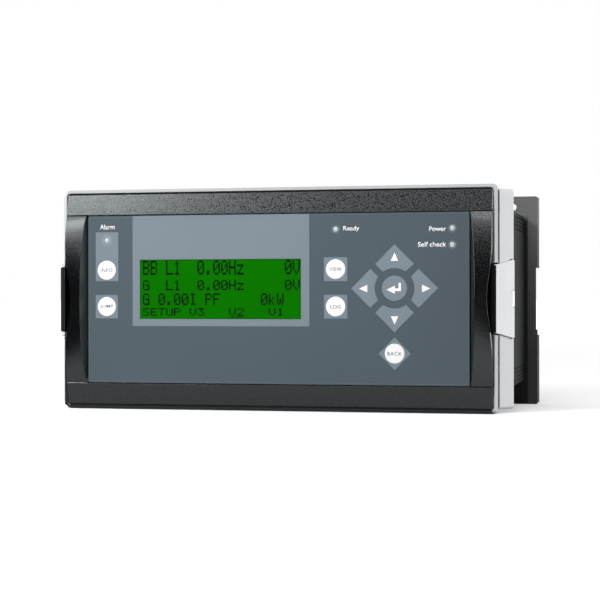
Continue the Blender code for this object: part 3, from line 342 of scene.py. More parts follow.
# Light and camera
WORLD_HEIGHTS = (0.05, 0.75)
WORLD_TURN = (-0.2, 0.5)
WORLD_LOW = 0.04
WORLD_HIGH = 0.35
WORLD_BACK = 0.3
FLOOR_HALF = 30.0
FLOOR_WHITE = 0.92
FLOOR_BOUNCE = 0.30
FLOOR_FRONT = 0.04
FLOOR_DIM_DEPTHS = (-0.9, -0.25)
FLOOR_DIM_SIDE = (-0.19, -0.13)
FLOOR_ROUGHNESS = 0.9
FLOOR_GLOW = 0.25
FLOOR_GLOW_REACH = (0.4, 2.5)
KEY_LIGHT = ((-0.42, -0.70, 0.485), (-0.03, 0, 0.06), (0.16, 0.16), 4.3)
FILL_LIGHT = ((-0.1, -1.55, 1.45), (0, 0, 0.06), (1.0, 0.9), 15.5)
SIDE_LIGHT = ((1.4, -0.02, 0.35), (0.1, 0, 0.06), (0.7, 0.7), 14.5)
LEFT_LIGHT = ((-1.4, -0.05, 0.5), (-0.1, 0, 0.06), (0.6, 0.6), 8.0)
CAMERA_PLACE = (0.2098, -0.88095, 0.0590)
CAMERA_TURN = 13.145
CAMERA_PITCH = 0.098
CAMERA_ROLL = -0.07
CAMERA_LENS = 100.49
CAMERA_SENSOR = 36.0
CAMERA_CLIP = (0.01, 100)


def spot(x, height, depth):
    """World point of a place on the head, given in millimetres."""
    return Vector((x * MM, FACE_Y + depth * MM, HEAD_MIDDLE + height * MM))


def middle(node):
    """Middle of a CAD node as (x, height) in millimetres."""
    low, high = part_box(node)
    return ((low.x + high.x) / 2 / MM, ((low.z + high.z) / 2 - HEAD_MIDDLE) / MM)


def node_rectangle(node, grow):
    """A CAD node's front view as (left, bottom, right, top) in millimetres, grown by a margin."""
    low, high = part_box(node)
    return (low.x / MM - grow, (low.z - HEAD_MIDDLE) / MM - grow,
            high.x / MM + grow, (high.z - HEAD_MIDDLE) / MM + grow)


def turned(centre, points, turn):
    """Points turned about the origin and then moved to a centre."""
    return [(centre[0] + x * math.cos(turn) - z * math.sin(turn),
             centre[1] + x * math.sin(turn) + z * math.cos(turn)) for x, z in points]


def circle(centre, radius, steps=ROUND_STEPS):
    turns = [2 * math.pi * step / steps for step in range(steps)]
    return [(centre[0] + radius * math.cos(turn), centre[1] + radius * math.sin(turn)) for turn in turns]


def rectangle(box, radius=0.0):
    left, bottom, right, top = box
    if not radius:
        return [(left, bottom), (right, bottom), (right, top), (left, top)]
    outline = []
    corners = ((right, top, -1, -1), (left, top, 1, -1), (left, bottom, 1, 1), (right, bottom, -1, 1))
    for quarter, (x, z, inward, upward) in enumerate(corners):
        for step in range(CORNER_STEPS + 1):
            turn = (quarter + step / CORNER_STEPS) * math.pi / 2
            outline.append((x + inward * radius + radius * math.cos(turn),
                            z + upward * radius + radius * math.sin(turn)))
    return outline


def turned_square(centre, half, degrees):
    corners = ((-half, -half), (half, -half), (half, half), (-half, half))
    return turned(centre, corners, math.radians(degrees))


def pad_arm(centre, quarter, grow):
    """Outline of an arrow key: a quarter of a diamond, cut by the diagonal slots and the middle ring."""
    reach, slot, ring = PAD_REACH + grow * math.sqrt(2), PAD_SLOT - 2 * grow, PAD_RING - grow
    offset = slot / 2 * math.sqrt(2)
    corner = (reach - offset) / 2
    near = (-offset + math.sqrt(2 * ring ** 2 - offset ** 2)) / 2
    start = math.atan2(near + offset, near)
    points = [(0, reach), (-corner, corner + offset)]
    for step in range(PAD_STEPS + 1):
        angle = math.pi - start - (math.pi - 2 * start) * step / PAD_STEPS
        points.append((ring * math.cos(angle), ring * math.sin(angle)))
    points.append((corner, corner + offset))
    return turned(centre, points, quarter * math.pi / 2)


def link(obj):
    bpy.context.scene.collection.objects.link(obj)
    return obj


def finished(name, mesh, look, body):
    """A mesh becomes a piece of the model: its finish and the body that it rides on."""
    mesh.materials.clear()
    mesh.materials.append(look)
    obj = link(bpy.data.objects.new(name, mesh))
    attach(obj, body)
    return obj


def mesh_of(holder, name):
    """The mesh of a curve or text object, welded, in world coordinates."""
    bpy.context.view_layer.update()
    mesh = bpy.data.meshes.new_from_object(holder.evaluated_get(bpy.context.evaluated_depsgraph_get()))
    mesh.name = name
    mesh.transform(holder.matrix_world)
    body = bmesh.new()
    body.from_mesh(mesh)
    bmesh.ops.remove_doubles(body, verts=body.verts, dist=CURVE_WELD)
    bmesh.ops.recalc_face_normals(body, faces=body.faces)
    body.to_mesh(mesh)
    body.free()
    data = holder.data
    bpy.data.objects.remove(holder)
    bpy.data.curves.remove(data)
    return mesh


def upright(near, thickness):
    """Turns a flat curve to face the front, with its front face at a depth."""
    return Matrix.Translation(spot(0, 0, near + thickness / 2)) @ Matrix.Rotation(math.pi / 2, 4, "X")


def plate(name, outlines, near, thickness, look, slot, body="housing"):
    """A thin plate from closed outlines, in which an outline inside another is a hole."""
    curve = bpy.data.curves.new(name, "CURVE")
    curve.dimensions = "2D"
    curve.fill_mode = "BOTH"
    curve.extrude = thickness / 2 * MM
    for outline in outlines:
        spline = curve.splines.new("POLY")
        spline.points.add(len(outline) - 1)
        for point, (x, z) in zip(spline.points, outline):
            point.co = (x * MM, z * MM, 0, 1)
        spline.use_cyclic_u = True
    holder = link(bpy.data.objects.new(name, curve))
    holder.matrix_world = upright(near, thickness)
    return finished(name, mesh_of(holder, name), look, body)


def word(name, text, box, near, look, body="housing", weight=0.0, spacing=1.0):
    """A word whose ink fills a box of (left, bottom, right, top)."""
    curve = bpy.data.curves.new(name, "FONT")
    curve.body = text
    curve.offset = weight
    curve.space_character = spacing
    curve.resolution_u = TEXT_STEPS
    holder = link(bpy.data.objects.new(name, curve))
    mesh = mesh_of(holder, name)
    low = [min(vertex.co[axis] for vertex in mesh.vertices) for axis in (0, 1)]
    high = [max(vertex.co[axis] for vertex in mesh.vertices) for axis in (0, 1)]
    left, bottom, right, top = box
    across, tall = (right - left) / (high[0] - low[0]), (top - bottom) / (high[1] - low[1])
    body_mesh = bmesh.new()
    body_mesh.from_mesh(mesh)
    grown = bmesh.ops.extrude_face_region(body_mesh, geom=list(body_mesh.faces))
    lifted = [item for item in grown["geom"] if isinstance(item, bmesh.types.BMVert)]
    bmesh.ops.translate(body_mesh, verts=lifted, vec=(0, 0, 1))
    for vertex in body_mesh.verts:
        x = left + (vertex.co.x - low[0]) * across
        z = bottom + (vertex.co.y - low[1]) * tall
        vertex.co = spot(x, z, near + INK_THICKNESS * (1 - min(vertex.co.z, 1)))
    bmesh.ops.recalc_face_normals(body_mesh, faces=body_mesh.faces)
    body_mesh.to_mesh(mesh)
    body_mesh.free()
    return finished(name, mesh, look, body)


def cuboids(name, boxes, look, body="housing"):
    """One piece made of many small boxes, each given by two world corners."""
    whole = bmesh.new()
    for low, high in boxes:
        low, high = Vector(low), Vector(high)
        fitted = Matrix.Translation((low + high) / 2) @ Matrix.Diagonal(high - low).to_4x4()
        bmesh.ops.create_cube(whole, size=1.0, matrix=fitted)
    mesh = bpy.data.meshes.new(name)
    whole.to_mesh(mesh)
    whole.free()
    return finished(name, mesh, look, body)


class Tree:
    """Short names for building a node tree."""

    def __init__(self, tree, coords="Object"):
        self.tree = tree
        self.coords = tree.nodes.new("ShaderNodeTexCoord").outputs[coords]

    def join(self, source, target):
        self.tree.links.new(source, target)

    def node(self, kind, links=(), **values):
        made = self.tree.nodes.new(kind)
        for key, value in values.items():
            if hasattr(made, key):
                setattr(made, key, value)
            else:
                made.inputs[key.replace("_", " ")].default_value = value
        for socket, source in dict(links).items():
            self.join(source, made.inputs[socket])
        return made

    def axes(self):
        """The coordinates' X, Y and Z."""
        return self.node("ShaderNodeSeparateXYZ", {0: self.coords}).outputs

    def noise(self, scale, detail=3.0, roughness=0.55):
        return self.node("ShaderNodeTexNoise", {"Vector": self.coords},
                         Scale=scale, Detail=detail, Roughness=roughness).outputs["Fac"]

    def spread(self, source, low, high, floor=0.3, ceiling=0.7):
        made = self.node("ShaderNodeMapRange", {0: source})
        for index, value in enumerate((floor, ceiling, low, high), 1):
            made.inputs[index].default_value = value
        return made.outputs[0]

    def fill(self, made, values):
        """Joins or sets a node's inputs, given by their index."""
        for index, value in values:
            if isinstance(value, bpy.types.NodeSocket):
                self.join(value, made.inputs[index])
            else:
                made.inputs[index].default_value = value

    def mix(self, share, first, second, blend="MIX"):
        made = self.node("ShaderNodeMix", data_type="RGBA", blend_type=blend)
        self.fill(made, ((0, share), (6, first), (7, second)))
        return made.outputs[2]

    def level(self, share, first, second):
        """A number between two others."""
        made = self.node("ShaderNodeMix")
        self.fill(made, ((0, share), (2, first), (3, second)))
        return made.outputs[0]

    def maths(self, operation, first, second=0.0):
        made = self.node("ShaderNodeMath", operation=operation)
        self.fill(made, ((0, first), (1, second)))
        return made.outputs[0]

    def away_from(self, point):
        """Distance in metres from a world point."""
        made = self.node("ShaderNodeVectorMath", {0: self.coords}, operation="DISTANCE")
        made.inputs[1].default_value = point
        return made.outputs["Value"]

    def rubbed(self, share):
        """A patchy mask along sharp edges, up to a share."""
        bevel = self.node("ShaderNodeBevel", samples=EDGE_SAMPLES, Radius=WEAR_REACH)
        plain = self.node("ShaderNodeNewGeometry")
        dot = self.node("ShaderNodeVectorMath", {0: bevel.outputs[0], 1: plain.outputs["Normal"]},
                        operation="DOT_PRODUCT")
        edges = self.spread(dot.outputs["Value"], 1.0, 0.0, *WEAR_EDGES)
        return self.maths("MULTIPLY", edges, self.spread(self.noise(WEAR_SCALE), 0.0, share, *WEAR_PATCHES))


class Finish(Tree):
    """The node tree of a new material."""

    def __init__(self, name):
        self.look = bpy.data.materials.new(name)
        self.look.use_nodes = True
        super().__init__(self.look.node_tree)
        self.shader = self.tree.nodes["Principled BSDF"]

    def paint(self, tone, gloss):
        self.join(tone, self.shader.inputs["Base Color"])
        self.join(gloss, self.shader.inputs["Roughness"])

    def settle(self, name, value):
        """Sets a value that is the same all over."""
        self.shader.inputs[name].default_value = value

    def relief(self, height, strength, distance):
        bump = self.node("ShaderNodeBump", {"Height": height}, Strength=strength, Distance=distance)
        self.join(bump.outputs[0], self.shader.inputs["Normal"])
        return bump


def shade(colour, share):
    """A colour made lighter or darker, with full alpha."""
    return (*[min(part * share, 1.0) for part in colour], 1.0)


def look_of(name, colour, roughness, metallic=0.0, specular=0.5, grain=2500.0, speckle=0.08, cloud=0.05,
            bump=0.15, bump_height=0.00003, rough_spread=0.06, wear=0.0, wear_shade=1.6, rounding=0.0,
            gloss_tint=(1, 1, 1), glow=0.0, polish=1.0, front_painted_light=1.0, octaves=4.0, left_share=1.0,
            rough_facet=False):
    """A finish with fine grain and speckle, slow changes of tone, uneven roughness and wear on its edges.

    Polish is the share of the roughness that is left at the middle of the front's height, rubbed by thumbs.
    Front painted light is how many times lighter the finish is painted near the front than at the back, where
    less light falls. Left share is how much of the unevenness is there at the left end. A rough facet keeps the
    polish off the side towards the panel.
    """
    t = Finish(name)
    axes = t.axes()
    fine = t.noise(grain, octaves, GRAIN_ROUGHNESS)
    slow = t.noise(CLOUD_SCALE, *CLOUD_NOISE)
    tone = t.mix(t.spread(fine, 0.0, 1.0), shade(colour, 1 - speckle), shade(colour, 1 + speckle))
    tone = t.mix(t.spread(slow, 0.0, 1.0), tone, t.mix(1.0, tone, shade((1, 1, 1), 1 - cloud), "MULTIPLY"))
    if front_painted_light > 1.0:
        # Painted light: the finish is lighter towards the front
        tone = t.mix(1.0, tone, t.spread(axes["Y"], front_painted_light, 1.0, *FRONT_PAINTED_LIGHT_DEPTHS), "MULTIPLY")
    if wear:
        tone = t.mix(t.rubbed(wear), tone, shade(colour, wear_shade))
    uneven = t.spread(fine, -rough_spread, rough_spread)
    if left_share < 1.0:
        uneven = t.maths("MULTIPLY", uneven, t.spread(axes["X"], left_share, 1.0, *LEFT_SHARE_PLACES))
    gloss = t.maths("ADD", uneven, roughness)
    if polish < 1.0:
        above = t.maths("SUBTRACT", axes["Z"], HEAD_MIDDLE)
        rise = t.maths("MAXIMUM", above, t.maths("MULTIPLY", above, -POLISHED_BELOW))
        share = t.spread(rise, polish, 1.0, *POLISHED_HEIGHTS)
        if rough_facet:
            side = t.maths("ABSOLUTE", axes["X"])
            share = t.maths("MAXIMUM", share, t.spread(side, 1.0, 0.0, *FACET_PLACES))
        gloss = t.maths("MULTIPLY", gloss, share)
    t.paint(tone, gloss)
    t.settle("Metallic", metallic)
    t.settle("Specular IOR Level", specular)
    t.settle("Specular Tint", (*gloss_tint, 1))
    # A glow is light that the finish gives off: the lamps' own light, and painted light on the white keys and ink
    t.settle("Emission Color", (*colour, 1))
    t.settle("Emission Strength", glow)
    relief = t.relief(fine, bump, bump_height)
    if rounding:
        rounded = t.node("ShaderNodeBevel", samples=ROUNDING_SAMPLES, Radius=rounding)
        t.join(rounded.outputs[0], relief.inputs["Normal"])
    return t.look


def plate_look(name, colour):
    """Painted steel, with painted light: lighter near its top, and a painted shadow in the corner beside the box.
    """
    t = Finish(name)
    axes = t.axes()
    fine = t.noise(PLATE_GRAIN, 4.0, GRAIN_ROUGHNESS)
    tone = t.mix(t.spread(fine, 0.0, 1.0), *(shade(colour, share) for share in PLATE_SPECKLE))
    # The plate is painted lighter towards its top, where the light falls
    tone = t.mix(1.0, tone, t.spread(axes["Z"], *PLATE_PAINTED_LIGHT, *PLATE_PAINTED_LIGHT_HEIGHTS), "MULTIPLY")
    # A painted shadow darkens the plate in the corner beside the box
    box_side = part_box("chassis_box")[1].x
    near, far = (box_side + reach for reach in CORNER_SHADOW_REACH)
    corner = t.spread(t.maths("ABSOLUTE", axes["X"]), CORNER_PAINTED_SHADOW, 1.0, near, far)
    corner = t.maths("MAXIMUM", corner, t.spread(axes["Z"], 0.0, 1.0, *CORNER_SHADOW_TOP))
    tone = t.mix(1.0, tone, corner, "MULTIPLY")
    tone = t.mix(t.rubbed(PLATE_WEAR), tone, shade(colour, PLATE_WEAR_SHADE))
    t.paint(tone, t.spread(fine, *PLATE_GLOSS))
    t.settle("Specular IOR Level", PLATE_SPECULAR)
    t.relief(fine, *PLATE_RELIEF)
    return t.look


def foil_look(name, colour, lamps, halo):
    """Printed foil: an even satin print that is lit a little round each lamp."""
    t = Finish(name)
    fine = t.noise(*FOIL_NOISE)
    slow = t.noise(*FOIL_CLOUD_NOISE)
    tone = t.mix(t.spread(fine, 0.0, 1.0), *(shade(colour, share) for share in FOIL_SPECKLE))
    tone = t.mix(t.spread(slow, 0.0, 1.0), tone, t.mix(1.0, tone, FOIL_CLOUD, "MULTIPLY"))
    for lamp in lamps:
        tone = t.mix(t.spread(t.away_from(lamp), LAMP_MIX, 0.0, LAMP_EDGE, LAMP_EDGE + halo), tone, LAMP_TONE)
    t.paint(tone, t.spread(fine, *FOIL_GLOSS))
    t.settle("Specular IOR Level", FOIL_SPECULAR)
    t.relief(t.noise(*FOIL_WAVES), *FOIL_RELIEF)
    return t.look


def display_look(name, colour):
    """The lit green of the display, with its faint grid of dots and a darker rim that paints the shade of the
    window's edge.
    """
    t = Finish(name)
    axes = t.axes()
    across, up = (t.maths("PINGPONG", axes[axis], GRID_HALF_PITCH) for axis in ("X", "Z"))
    grid = t.maths("MINIMUM", *(t.spread(place, 0.0, 1.0, 0.0, GRID_HALF_LINE) for place in (across, up)))
    tone = t.mix(grid, *(shade(colour, share) for share in GRID_SHADES))
    low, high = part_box("lcd_window")
    centre = (low + high) / 2
    side = t.maths("ABSOLUTE", t.maths("SUBTRACT", axes["X"], centre.x))
    rise = t.maths("ABSOLUTE", t.maths("SUBTRACT", axes["Z"], centre.z))
    rim = t.maths("MAXIMUM", t.spread(side, 0.0, 1.0, *DISPLAY_RIM[:2]),
                  t.spread(rise, 0.0, 1.0, *DISPLAY_RIM[2:]))
    # Painted shade along the window's edge
    tone = t.mix(rim, tone, shade(colour, DISPLAY_RIM_PAINTED_SHADE))
    tone = t.mix(1.0, tone, t.spread(t.noise(*DISPLAY_CLOUD_NOISE), *DISPLAY_CLOUD), "MULTIPLY")
    t.paint(tone, t.spread(t.noise(DISPLAY_GRAIN), *DISPLAY_GLOSS))
    t.settle("Specular IOR Level", 0.0)
    return t.look


def board_look(name, colour):
    """Circuit board: solder mask over fine tracks, with pads at a regular pitch."""
    t = Finish(name)
    bricks = t.node("ShaderNodeTexBrick", {"Vector": t.coords}, Scale=TRACK_SCALE, Mortar_Size=TRACK_GAP)
    tracks = bricks.outputs["Fac"]
    tone = t.mix(tracks, (*colour, 1.0), shade(colour, TRACK_SHADE))
    dots = t.node("ShaderNodeTexVoronoi", {"Vector": t.coords}, Scale=PAD_SCALE, Randomness=PAD_JITTER)
    tone = t.mix(t.spread(dots.outputs["Distance"], 1.0, 0.0, *PAD_EDGE), tone, PAD_TONE)
    t.paint(tone, t.spread(t.noise(BOARD_GRAIN), *BOARD_GLOSS))
    t.relief(tracks, *BOARD_RELIEF)
    return t.look


def ribbon_look(name, colour):
    """Ribbon cable, with its wires side by side."""
    t = Finish(name)
    wires = t.spread(t.maths("PINGPONG", t.axes()["X"], WIRE_HALF_PITCH), 0.0, 1.0, 0.0, WIRE_HALF_PITCH)
    tone = t.mix(wires, *(shade(colour, share) for share in WIRE_SHADES))
    t.paint(tone, t.spread(t.noise(RIBBON_GRAIN), *RIBBON_GLOSS))
    t.relief(wires, *RIBBON_RELIEF)
    return t.look


def group_of(name, tidy):
    """Geometry nodes that weld a node's triangles if asked, and shade it smooth but for its sharp edges."""
    group = bpy.data.node_groups.new(name, "GeometryNodeTree")
    group.interface.new_socket("Geometry", in_out="INPUT", socket_type="NodeSocketGeometry")
    group.interface.new_socket("Geometry", in_out="OUTPUT", socket_type="NodeSocketGeometry")
    start = group.nodes.new("NodeGroupInput")
    end = group.nodes.new("NodeGroupOutput")
    last = start.outputs[0]
    if tidy:
        bare = group.nodes.new("GeometryNodeRemoveAttribute")
        bare.inputs["Name"].default_value = "custom_normal"
        group.links.new(last, bare.inputs["Geometry"])
        weld = group.nodes.new("GeometryNodeMergeByDistance")
        weld.inputs["Distance"].default_value = WELD_DISTANCE
        group.links.new(bare.outputs[0], weld.inputs["Geometry"])
        last = weld.outputs[0]
    faces = group.nodes.new("GeometryNodeSetShadeSmooth")
    faces.domain = "FACE"
    group.links.new(last, faces.inputs["Geometry"])
    edges = group.nodes.new("GeometryNodeSetShadeSmooth")
    edges.domain = "EDGE"
    edges.inputs["Shade Smooth"].default_value = False
    angle = group.nodes.new("GeometryNodeInputMeshEdgeAngle")
    sharp = group.nodes.new("FunctionNodeCompare")
    sharp.data_type = "FLOAT"
    sharp.operation = "GREATER_THAN"
    sharp.inputs["B"].default_value = SHARP_ANGLE
    group.links.new(angle.outputs["Unsigned Angle"], sharp.inputs["A"])
    group.links.new(faces.outputs[0], edges.inputs["Geometry"])
    group.links.new(sharp.outputs[0], edges.inputs["Selection"])
    group.links.new(edges.outputs[0], end.inputs[0])
    return group


def soften(obj, width, weld, smooth):
    """Welds and shades a CAD node and rounds its sharp edges if a width is given, with modifiers only."""
    obj.modifiers.new("tidy", "NODES").node_group = weld
    if width:
        flat = obj.modifiers.new("flat", "DECIMATE")
        flat.decimate_type = "DISSOLVE"
        flat.angle_limit = FLAT_ANGLE
        round_off = obj.modifiers.new("round", "BEVEL")
        round_off.width = width
        round_off.segments = EDGE_SEGMENTS
        round_off.limit_method = "ANGLE"
        round_off.angle_limit = SHARP_ANGLE
        round_off.miter_outer = "MITER_ARC"
        obj.modifiers.new("smooth", "NODES").node_group = smooth
        obj.modifiers.new("even", "WEIGHTED_NORMAL").keep_sharp = True


def key_holes(grow):
    """Outlines of the holes for the keys, by key."""
    holes = {name: circle(middle(name), ROUND_KEY_RADIUS + grow) for name in KEY_WORDS}
    pad = middle("enter_key")
    holes["enter_key"] = circle(pad, ENTER_RADIUS + grow)
    for quarter, name in enumerate(ARROW_KEYS):
        holes[name] = pad_arm(pad, quarter, grow)
    return holes


def make_print():
    """The foil on the panel, its light fields, the words on it and the marks on the keys."""
    holes = key_holes(HOLE_CLEARANCE)
    lamps = {name: circle(middle(name), LAMP_RADIUS + HOLE_CLEARANCE, LAMP_STEPS) for name in LAMPS}
    display = rectangle(node_rectangle("lcd_window", DISPLAY_MARGIN))
    left, bottom, right, top = node_rectangle("front_panel", -FOIL_INSET)
    foil = rectangle((left, bottom, right - FOIL_RIGHT_INSET, top), FOIL_CORNER)
    line = [rectangle(node_rectangle("front_panel", -inset), EDGE_PAINTED_HIGHLIGHT_CORNER) for inset in EDGE_PAINTED_HIGHLIGHT]
    foil_ink, key_ink = FOIL_NEAR - INK_THICKNESS, KEY_FACE - INK_THICKNESS
    # A lighter line round the panel's edge paints a highlight
    plate("panel_edge_painted_highlight", line, foil_ink, INK_THICKNESS, LOOKS["edge_painted_highlight"], "slate")
    plate("panel_foil", [foil, display, *holes.values(), *lamps.values()], FOIL_NEAR, FOIL_THICKNESS,
          LOOKS["foil"], "slate")
    field = (FIELD_NEAR, FIELD_THICKNESS, LOOKS["field"], "blue_grey")
    plate("display_field", [rectangle(DISPLAY_FIELD), display], *field)
    plate("alarm_field", [rectangle(ALARM_FIELD), holes["info_key"], lamps["alarm_lamp"]], *field)
    for name, (key, half, turn) in KEY_FIELDS.items():
        plate(name, [turned_square(middle(key), half, turn), holes[key]], *field)
    for name, (text, box) in PANEL_WORDS.items():
        word(name, text, box, foil_ink, LOOKS["white_ink"], weight=WORD_WEIGHT)
    for key, (text, width, height) in KEY_WORDS.items():
        x, z = middle(key)
        box = (x - width / 2, z - height / 2, x + width / 2, z + height / 2)
        word(key[:-4] + "_mark", text, box, key_ink, LOOKS["grey_ink"], key, KEY_WORD_WEIGHT,
             KEY_WORD_SPACING)
    pad = middle("enter_key")
    tip, foot, half = ARROW_MIDDLE + ARROW_HEIGHT / 2, ARROW_MIDDLE - ARROW_HEIGHT / 2, ARROW_BASE / 2
    for quarter, key in enumerate(ARROW_KEYS):
        outline = turned(pad, ((0, tip), (-half, foot), (half, foot)), quarter * math.pi / 2)
        plate(key[:-4] + "_arrow", [outline], key_ink, INK_THICKNESS, LOOKS["white_ink"], "white_key", key)
    plate("enter_arrow", [turned(pad, RETURN_ARROW, 0)], key_ink, INK_THICKNESS, LOOKS["white_ink"], "white_key",
          "enter_key")


def make_display_text():
    """The display's characters as dots on its window."""
    boxes = []
    dot_x = CHARACTER_WIDTH / FONT_COLUMNS
    for text, top, bottom in TEXT_ROWS:
        dot_z = (top - bottom) / FONT_ROWS
        for column, character in enumerate(text):
            for row, bits in enumerate(FONT.get(character, "").split()):
                for place, bit in enumerate(bits):
                    if bit == "1":
                        x = TEXT_LEFT + column * COLUMN_PITCH + place * dot_x
                        z = top - (row + 1) * dot_z
                        end = spot(x + dot_x * DOT_SHARE, z + dot_z * DOT_SHARE, DOT_FAR)
                        boxes.append((spot(x, z, DOT_NEAR), end))
    first, last, top, bottom = UNDERLINE
    for dot in range((last - first) * (FONT_COLUMNS + 1) - 1):
        x = TEXT_LEFT + first * COLUMN_PITCH + dot * dot_x
        boxes.append((spot(x, bottom, DOT_NEAR), spot(x + dot_x * DOT_SHARE, top, DOT_FAR)))
    cuboids("display_text", boxes, LOOKS["display_dots"])


def make_seams():
    """Dark strips that paint the shade in the gaps round the rails, a dark sheet that paints the shade on the
    lower rim, a lighter line that paints a highlight at the left seam, the plate's edge strips, lighter as a
    painted highlight, and white hinge sleeves that paint a highlight.
    """
    # Dark rubber-look strips lie in the gaps above and below the rails and paint the shade there
    for name, side in (("top_rail", 1), ("bottom_rail", -1)):
        left, bottom, right, top = node_rectangle(name, 0)
        edge = top if side > 0 else bottom
        low, high = sorted((edge + side * SEAM_CLEARANCE, edge + side * (SEAM_CLEARANCE + SEAM_HEIGHT)))
        box = (left + SEAM_END, low, right - SEAM_END, high)
        plate(name + "_seam", [rectangle(box)], SEAM_NEAR, SEAM_THICKNESS, LOOKS["rubber"], "rubber")
    # A dark sheet over the pale rim's lower and left lip paints the shade that falls there
    left, inner, right, bottom, raised, top = PAINTED_RIM_SHADE
    outline = [(left, top - RIM_TAPER), (inner, top), (inner, raised + RIM_FILL), (inner + RIM_FILL, raised),
               (right, raised), (right, bottom), (left + RIM_CORNER[0], bottom), (left, bottom + RIM_CORNER[1])]
    plate("painted_rim_shade", [outline], RIM_SHADE_NEAR, RIM_SHADE_THICKNESS, LOOKS["rim_painted_shade_black"], "textured_black")
    # A lighter strip at the left end of the lower seam paints a highlight
    left, right, bottom, top = SEAM_HIGHLIGHT
    plate("left_seam_highlight", [rectangle((left, bottom, right, top))], SEAM_LINE_NEAR, SEAM_LINE_THICKNESS,
          LOOKS["seam_painted_highlight"], "pale_grey")
    # Lighter strips along the plate's right edge widen the plate and paint a highlight on it
    low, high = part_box("back_plate")
    middle_y = (low.y + high.y) / 2
    reach = PLATE_EDGE_DEPTH / 2 * MM
    boxes = []
    for bottom, top in PLATE_EDGE_HEIGHTS:
        boxes.append(((high.x, middle_y - reach, bottom * MM),
                      (high.x + PLATE_EDGE_WIDTH * MM, middle_y + reach, top * MM)))
    cuboids("plate_edge_highlight", boxes, LOOKS["edge_highlight_grey"])
    # White sleeves over the hinge knuckles paint a highlight
    for side in ("left", "right"):
        low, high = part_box(side + "_latch_pin")
        whole = bmesh.new()
        bmesh.ops.create_cone(whole, cap_ends=True, segments=ROUND_STEPS // 2, radius1=SLEEVE_RADIUS * MM,
                              radius2=SLEEVE_RADIUS * MM, depth=2 * SLEEVE_HALF * MM,
                              matrix=Matrix.Translation((low + high) / 2))
        mesh = bpy.data.meshes.new(side + "_knuckle_highlight_sleeve")
        whole.to_mesh(mesh)
        whole.free()
        finished(side + "_knuckle_highlight_sleeve", mesh, LOOKS["white_key"], "housing")


def thread(name, points, radius, look):
    """A thin rounded line through world points, each given with its share of the radius."""
    curve = bpy.data.curves.new(name, "CURVE")
    curve.dimensions = "3D"
    curve.bevel_depth = radius * MM
    curve.bevel_resolution = 2
    curve.use_fill_caps = True
    spline = curve.splines.new("POLY")
    spline.points.add(len(points) - 1)
    for point, (place, share) in zip(spline.points, points):
        point.co = (*place, 1)
        point.radius = share
    holder = link(bpy.data.objects.new(name, curve))
    return finished(name, mesh_of(holder, name), look, "housing")


def make_crests():
    """Lighter lines along the crest and the thumb scallop of the right cheek that paint a highlight."""
    low, high = (place * MM for place in CREST_PLACES)
    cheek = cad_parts["right_cheek"]
    crest, outer = {}, {}
    for vertex in cheek.data.vertices:
        corner = cheek.matrix_world @ vertex.co
        level = round(corner.z, 5)
        if corner.y > FACE_Y + MM:
            continue
        if low < corner.x < high:
            crest[level] = corner
        elif corner.x > high and (level not in outer or corner.x > outer[level].x):
            outer[level] = corner
    start, full = CREST_FADE
    points = [(crest[level], min((level - start) / (full - start), 1)) for level in sorted(crest)
              if level > start]
    thread("right_cheek_crest_highlight", points, CREST_RADIUS, LOOKS["crest_highlight_grey"])
    reach, full = SCALLOP_FADE
    away = {level: abs(level - HEAD_MIDDLE) for level in outer}
    points = [(outer[level], min((reach - away[level]) / (reach - full), 1)) for level in sorted(outer)
              if away[level] < reach]
    thread("right_cheek_scallop_highlight", points, SCALLOP_RADIUS, LOOKS["crest_highlight_grey"])


def make_terminal_hardware():
    """Slotted clamp screws and wire cages in every terminal block."""
    for block in sorted(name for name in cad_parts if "terminal_block" in name):
        low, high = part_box(block)
        upward = 1 if block.startswith("top") else -1
        outer = high.z if upward > 0 else low.z
        screw_z = outer - upward * TERMINAL_BODY / 2 * MM
        whole = bmesh.new()
        boxes = []
        for way in range(TERMINAL_WAYS):
            x = (low.x + high.x) / 2 + (way - (TERMINAL_WAYS - 1) / 2) * TERMINAL_PITCH * MM
            half_slot, radius = CLAMP_SLOT / 2 * MM, CLAMP_SCREW_RADIUS * MM
            for side in (-1, 1):
                start = math.asin(half_slot / radius)
                arc = [start + (math.pi - 2 * start) * step / CLAMP_STEPS for step in range(CLAMP_STEPS + 1)]
                rings = []
                for depth in (CLAMP_SCREW_SUNK, CLAMP_SCREW_SUNK + CLAMP_SCREW_LENGTH):
                    y = low.y + depth * MM
                    rings.append([whole.verts.new((x + radius * math.cos(turn), y,
                                                   screw_z + side * radius * math.sin(turn))) for turn in arc])
                for index in range(len(arc)):
                    after = (index + 1) % len(arc)
                    whole.faces.new((rings[0][index], rings[0][after], rings[1][after], rings[1][index]))
                whole.faces.new(rings[0])
                whole.faces.new(rings[1])
            y = low.y + ENTRY_SETBACK * MM
            deep, shallow = sorted(outer - upward * sunk * MM for sunk in (CAGE_SUNK, CAGE_SUNK + CAGE_LENGTH))
            half_x, half_y, wall = CAGE_HALF_WIDTH * MM, CAGE_HALF_DEPTH * MM, CAGE_WALL * MM
            for side in (-1, 1):
                near_x, far_x = sorted((x + side * half_x, x + side * (half_x - wall)))
                boxes.append(((near_x, y - half_y, deep), (far_x, y + half_y, shallow)))
                near_y, far_y = sorted((y + side * half_y, y + side * (half_y - wall)))
                boxes.append(((x - half_x + wall, near_y, deep), (x + half_x - wall, far_y, shallow)))
        bmesh.ops.recalc_face_normals(whole, faces=whole.faces)
        mesh = bpy.data.meshes.new(block + "_screws")
        whole.to_mesh(mesh)
        whole.free()
        finished(block + "_screws", mesh, LOOKS["steel"], "housing")
        cuboids(block + "_cages", boxes, LOOKS["steel"])


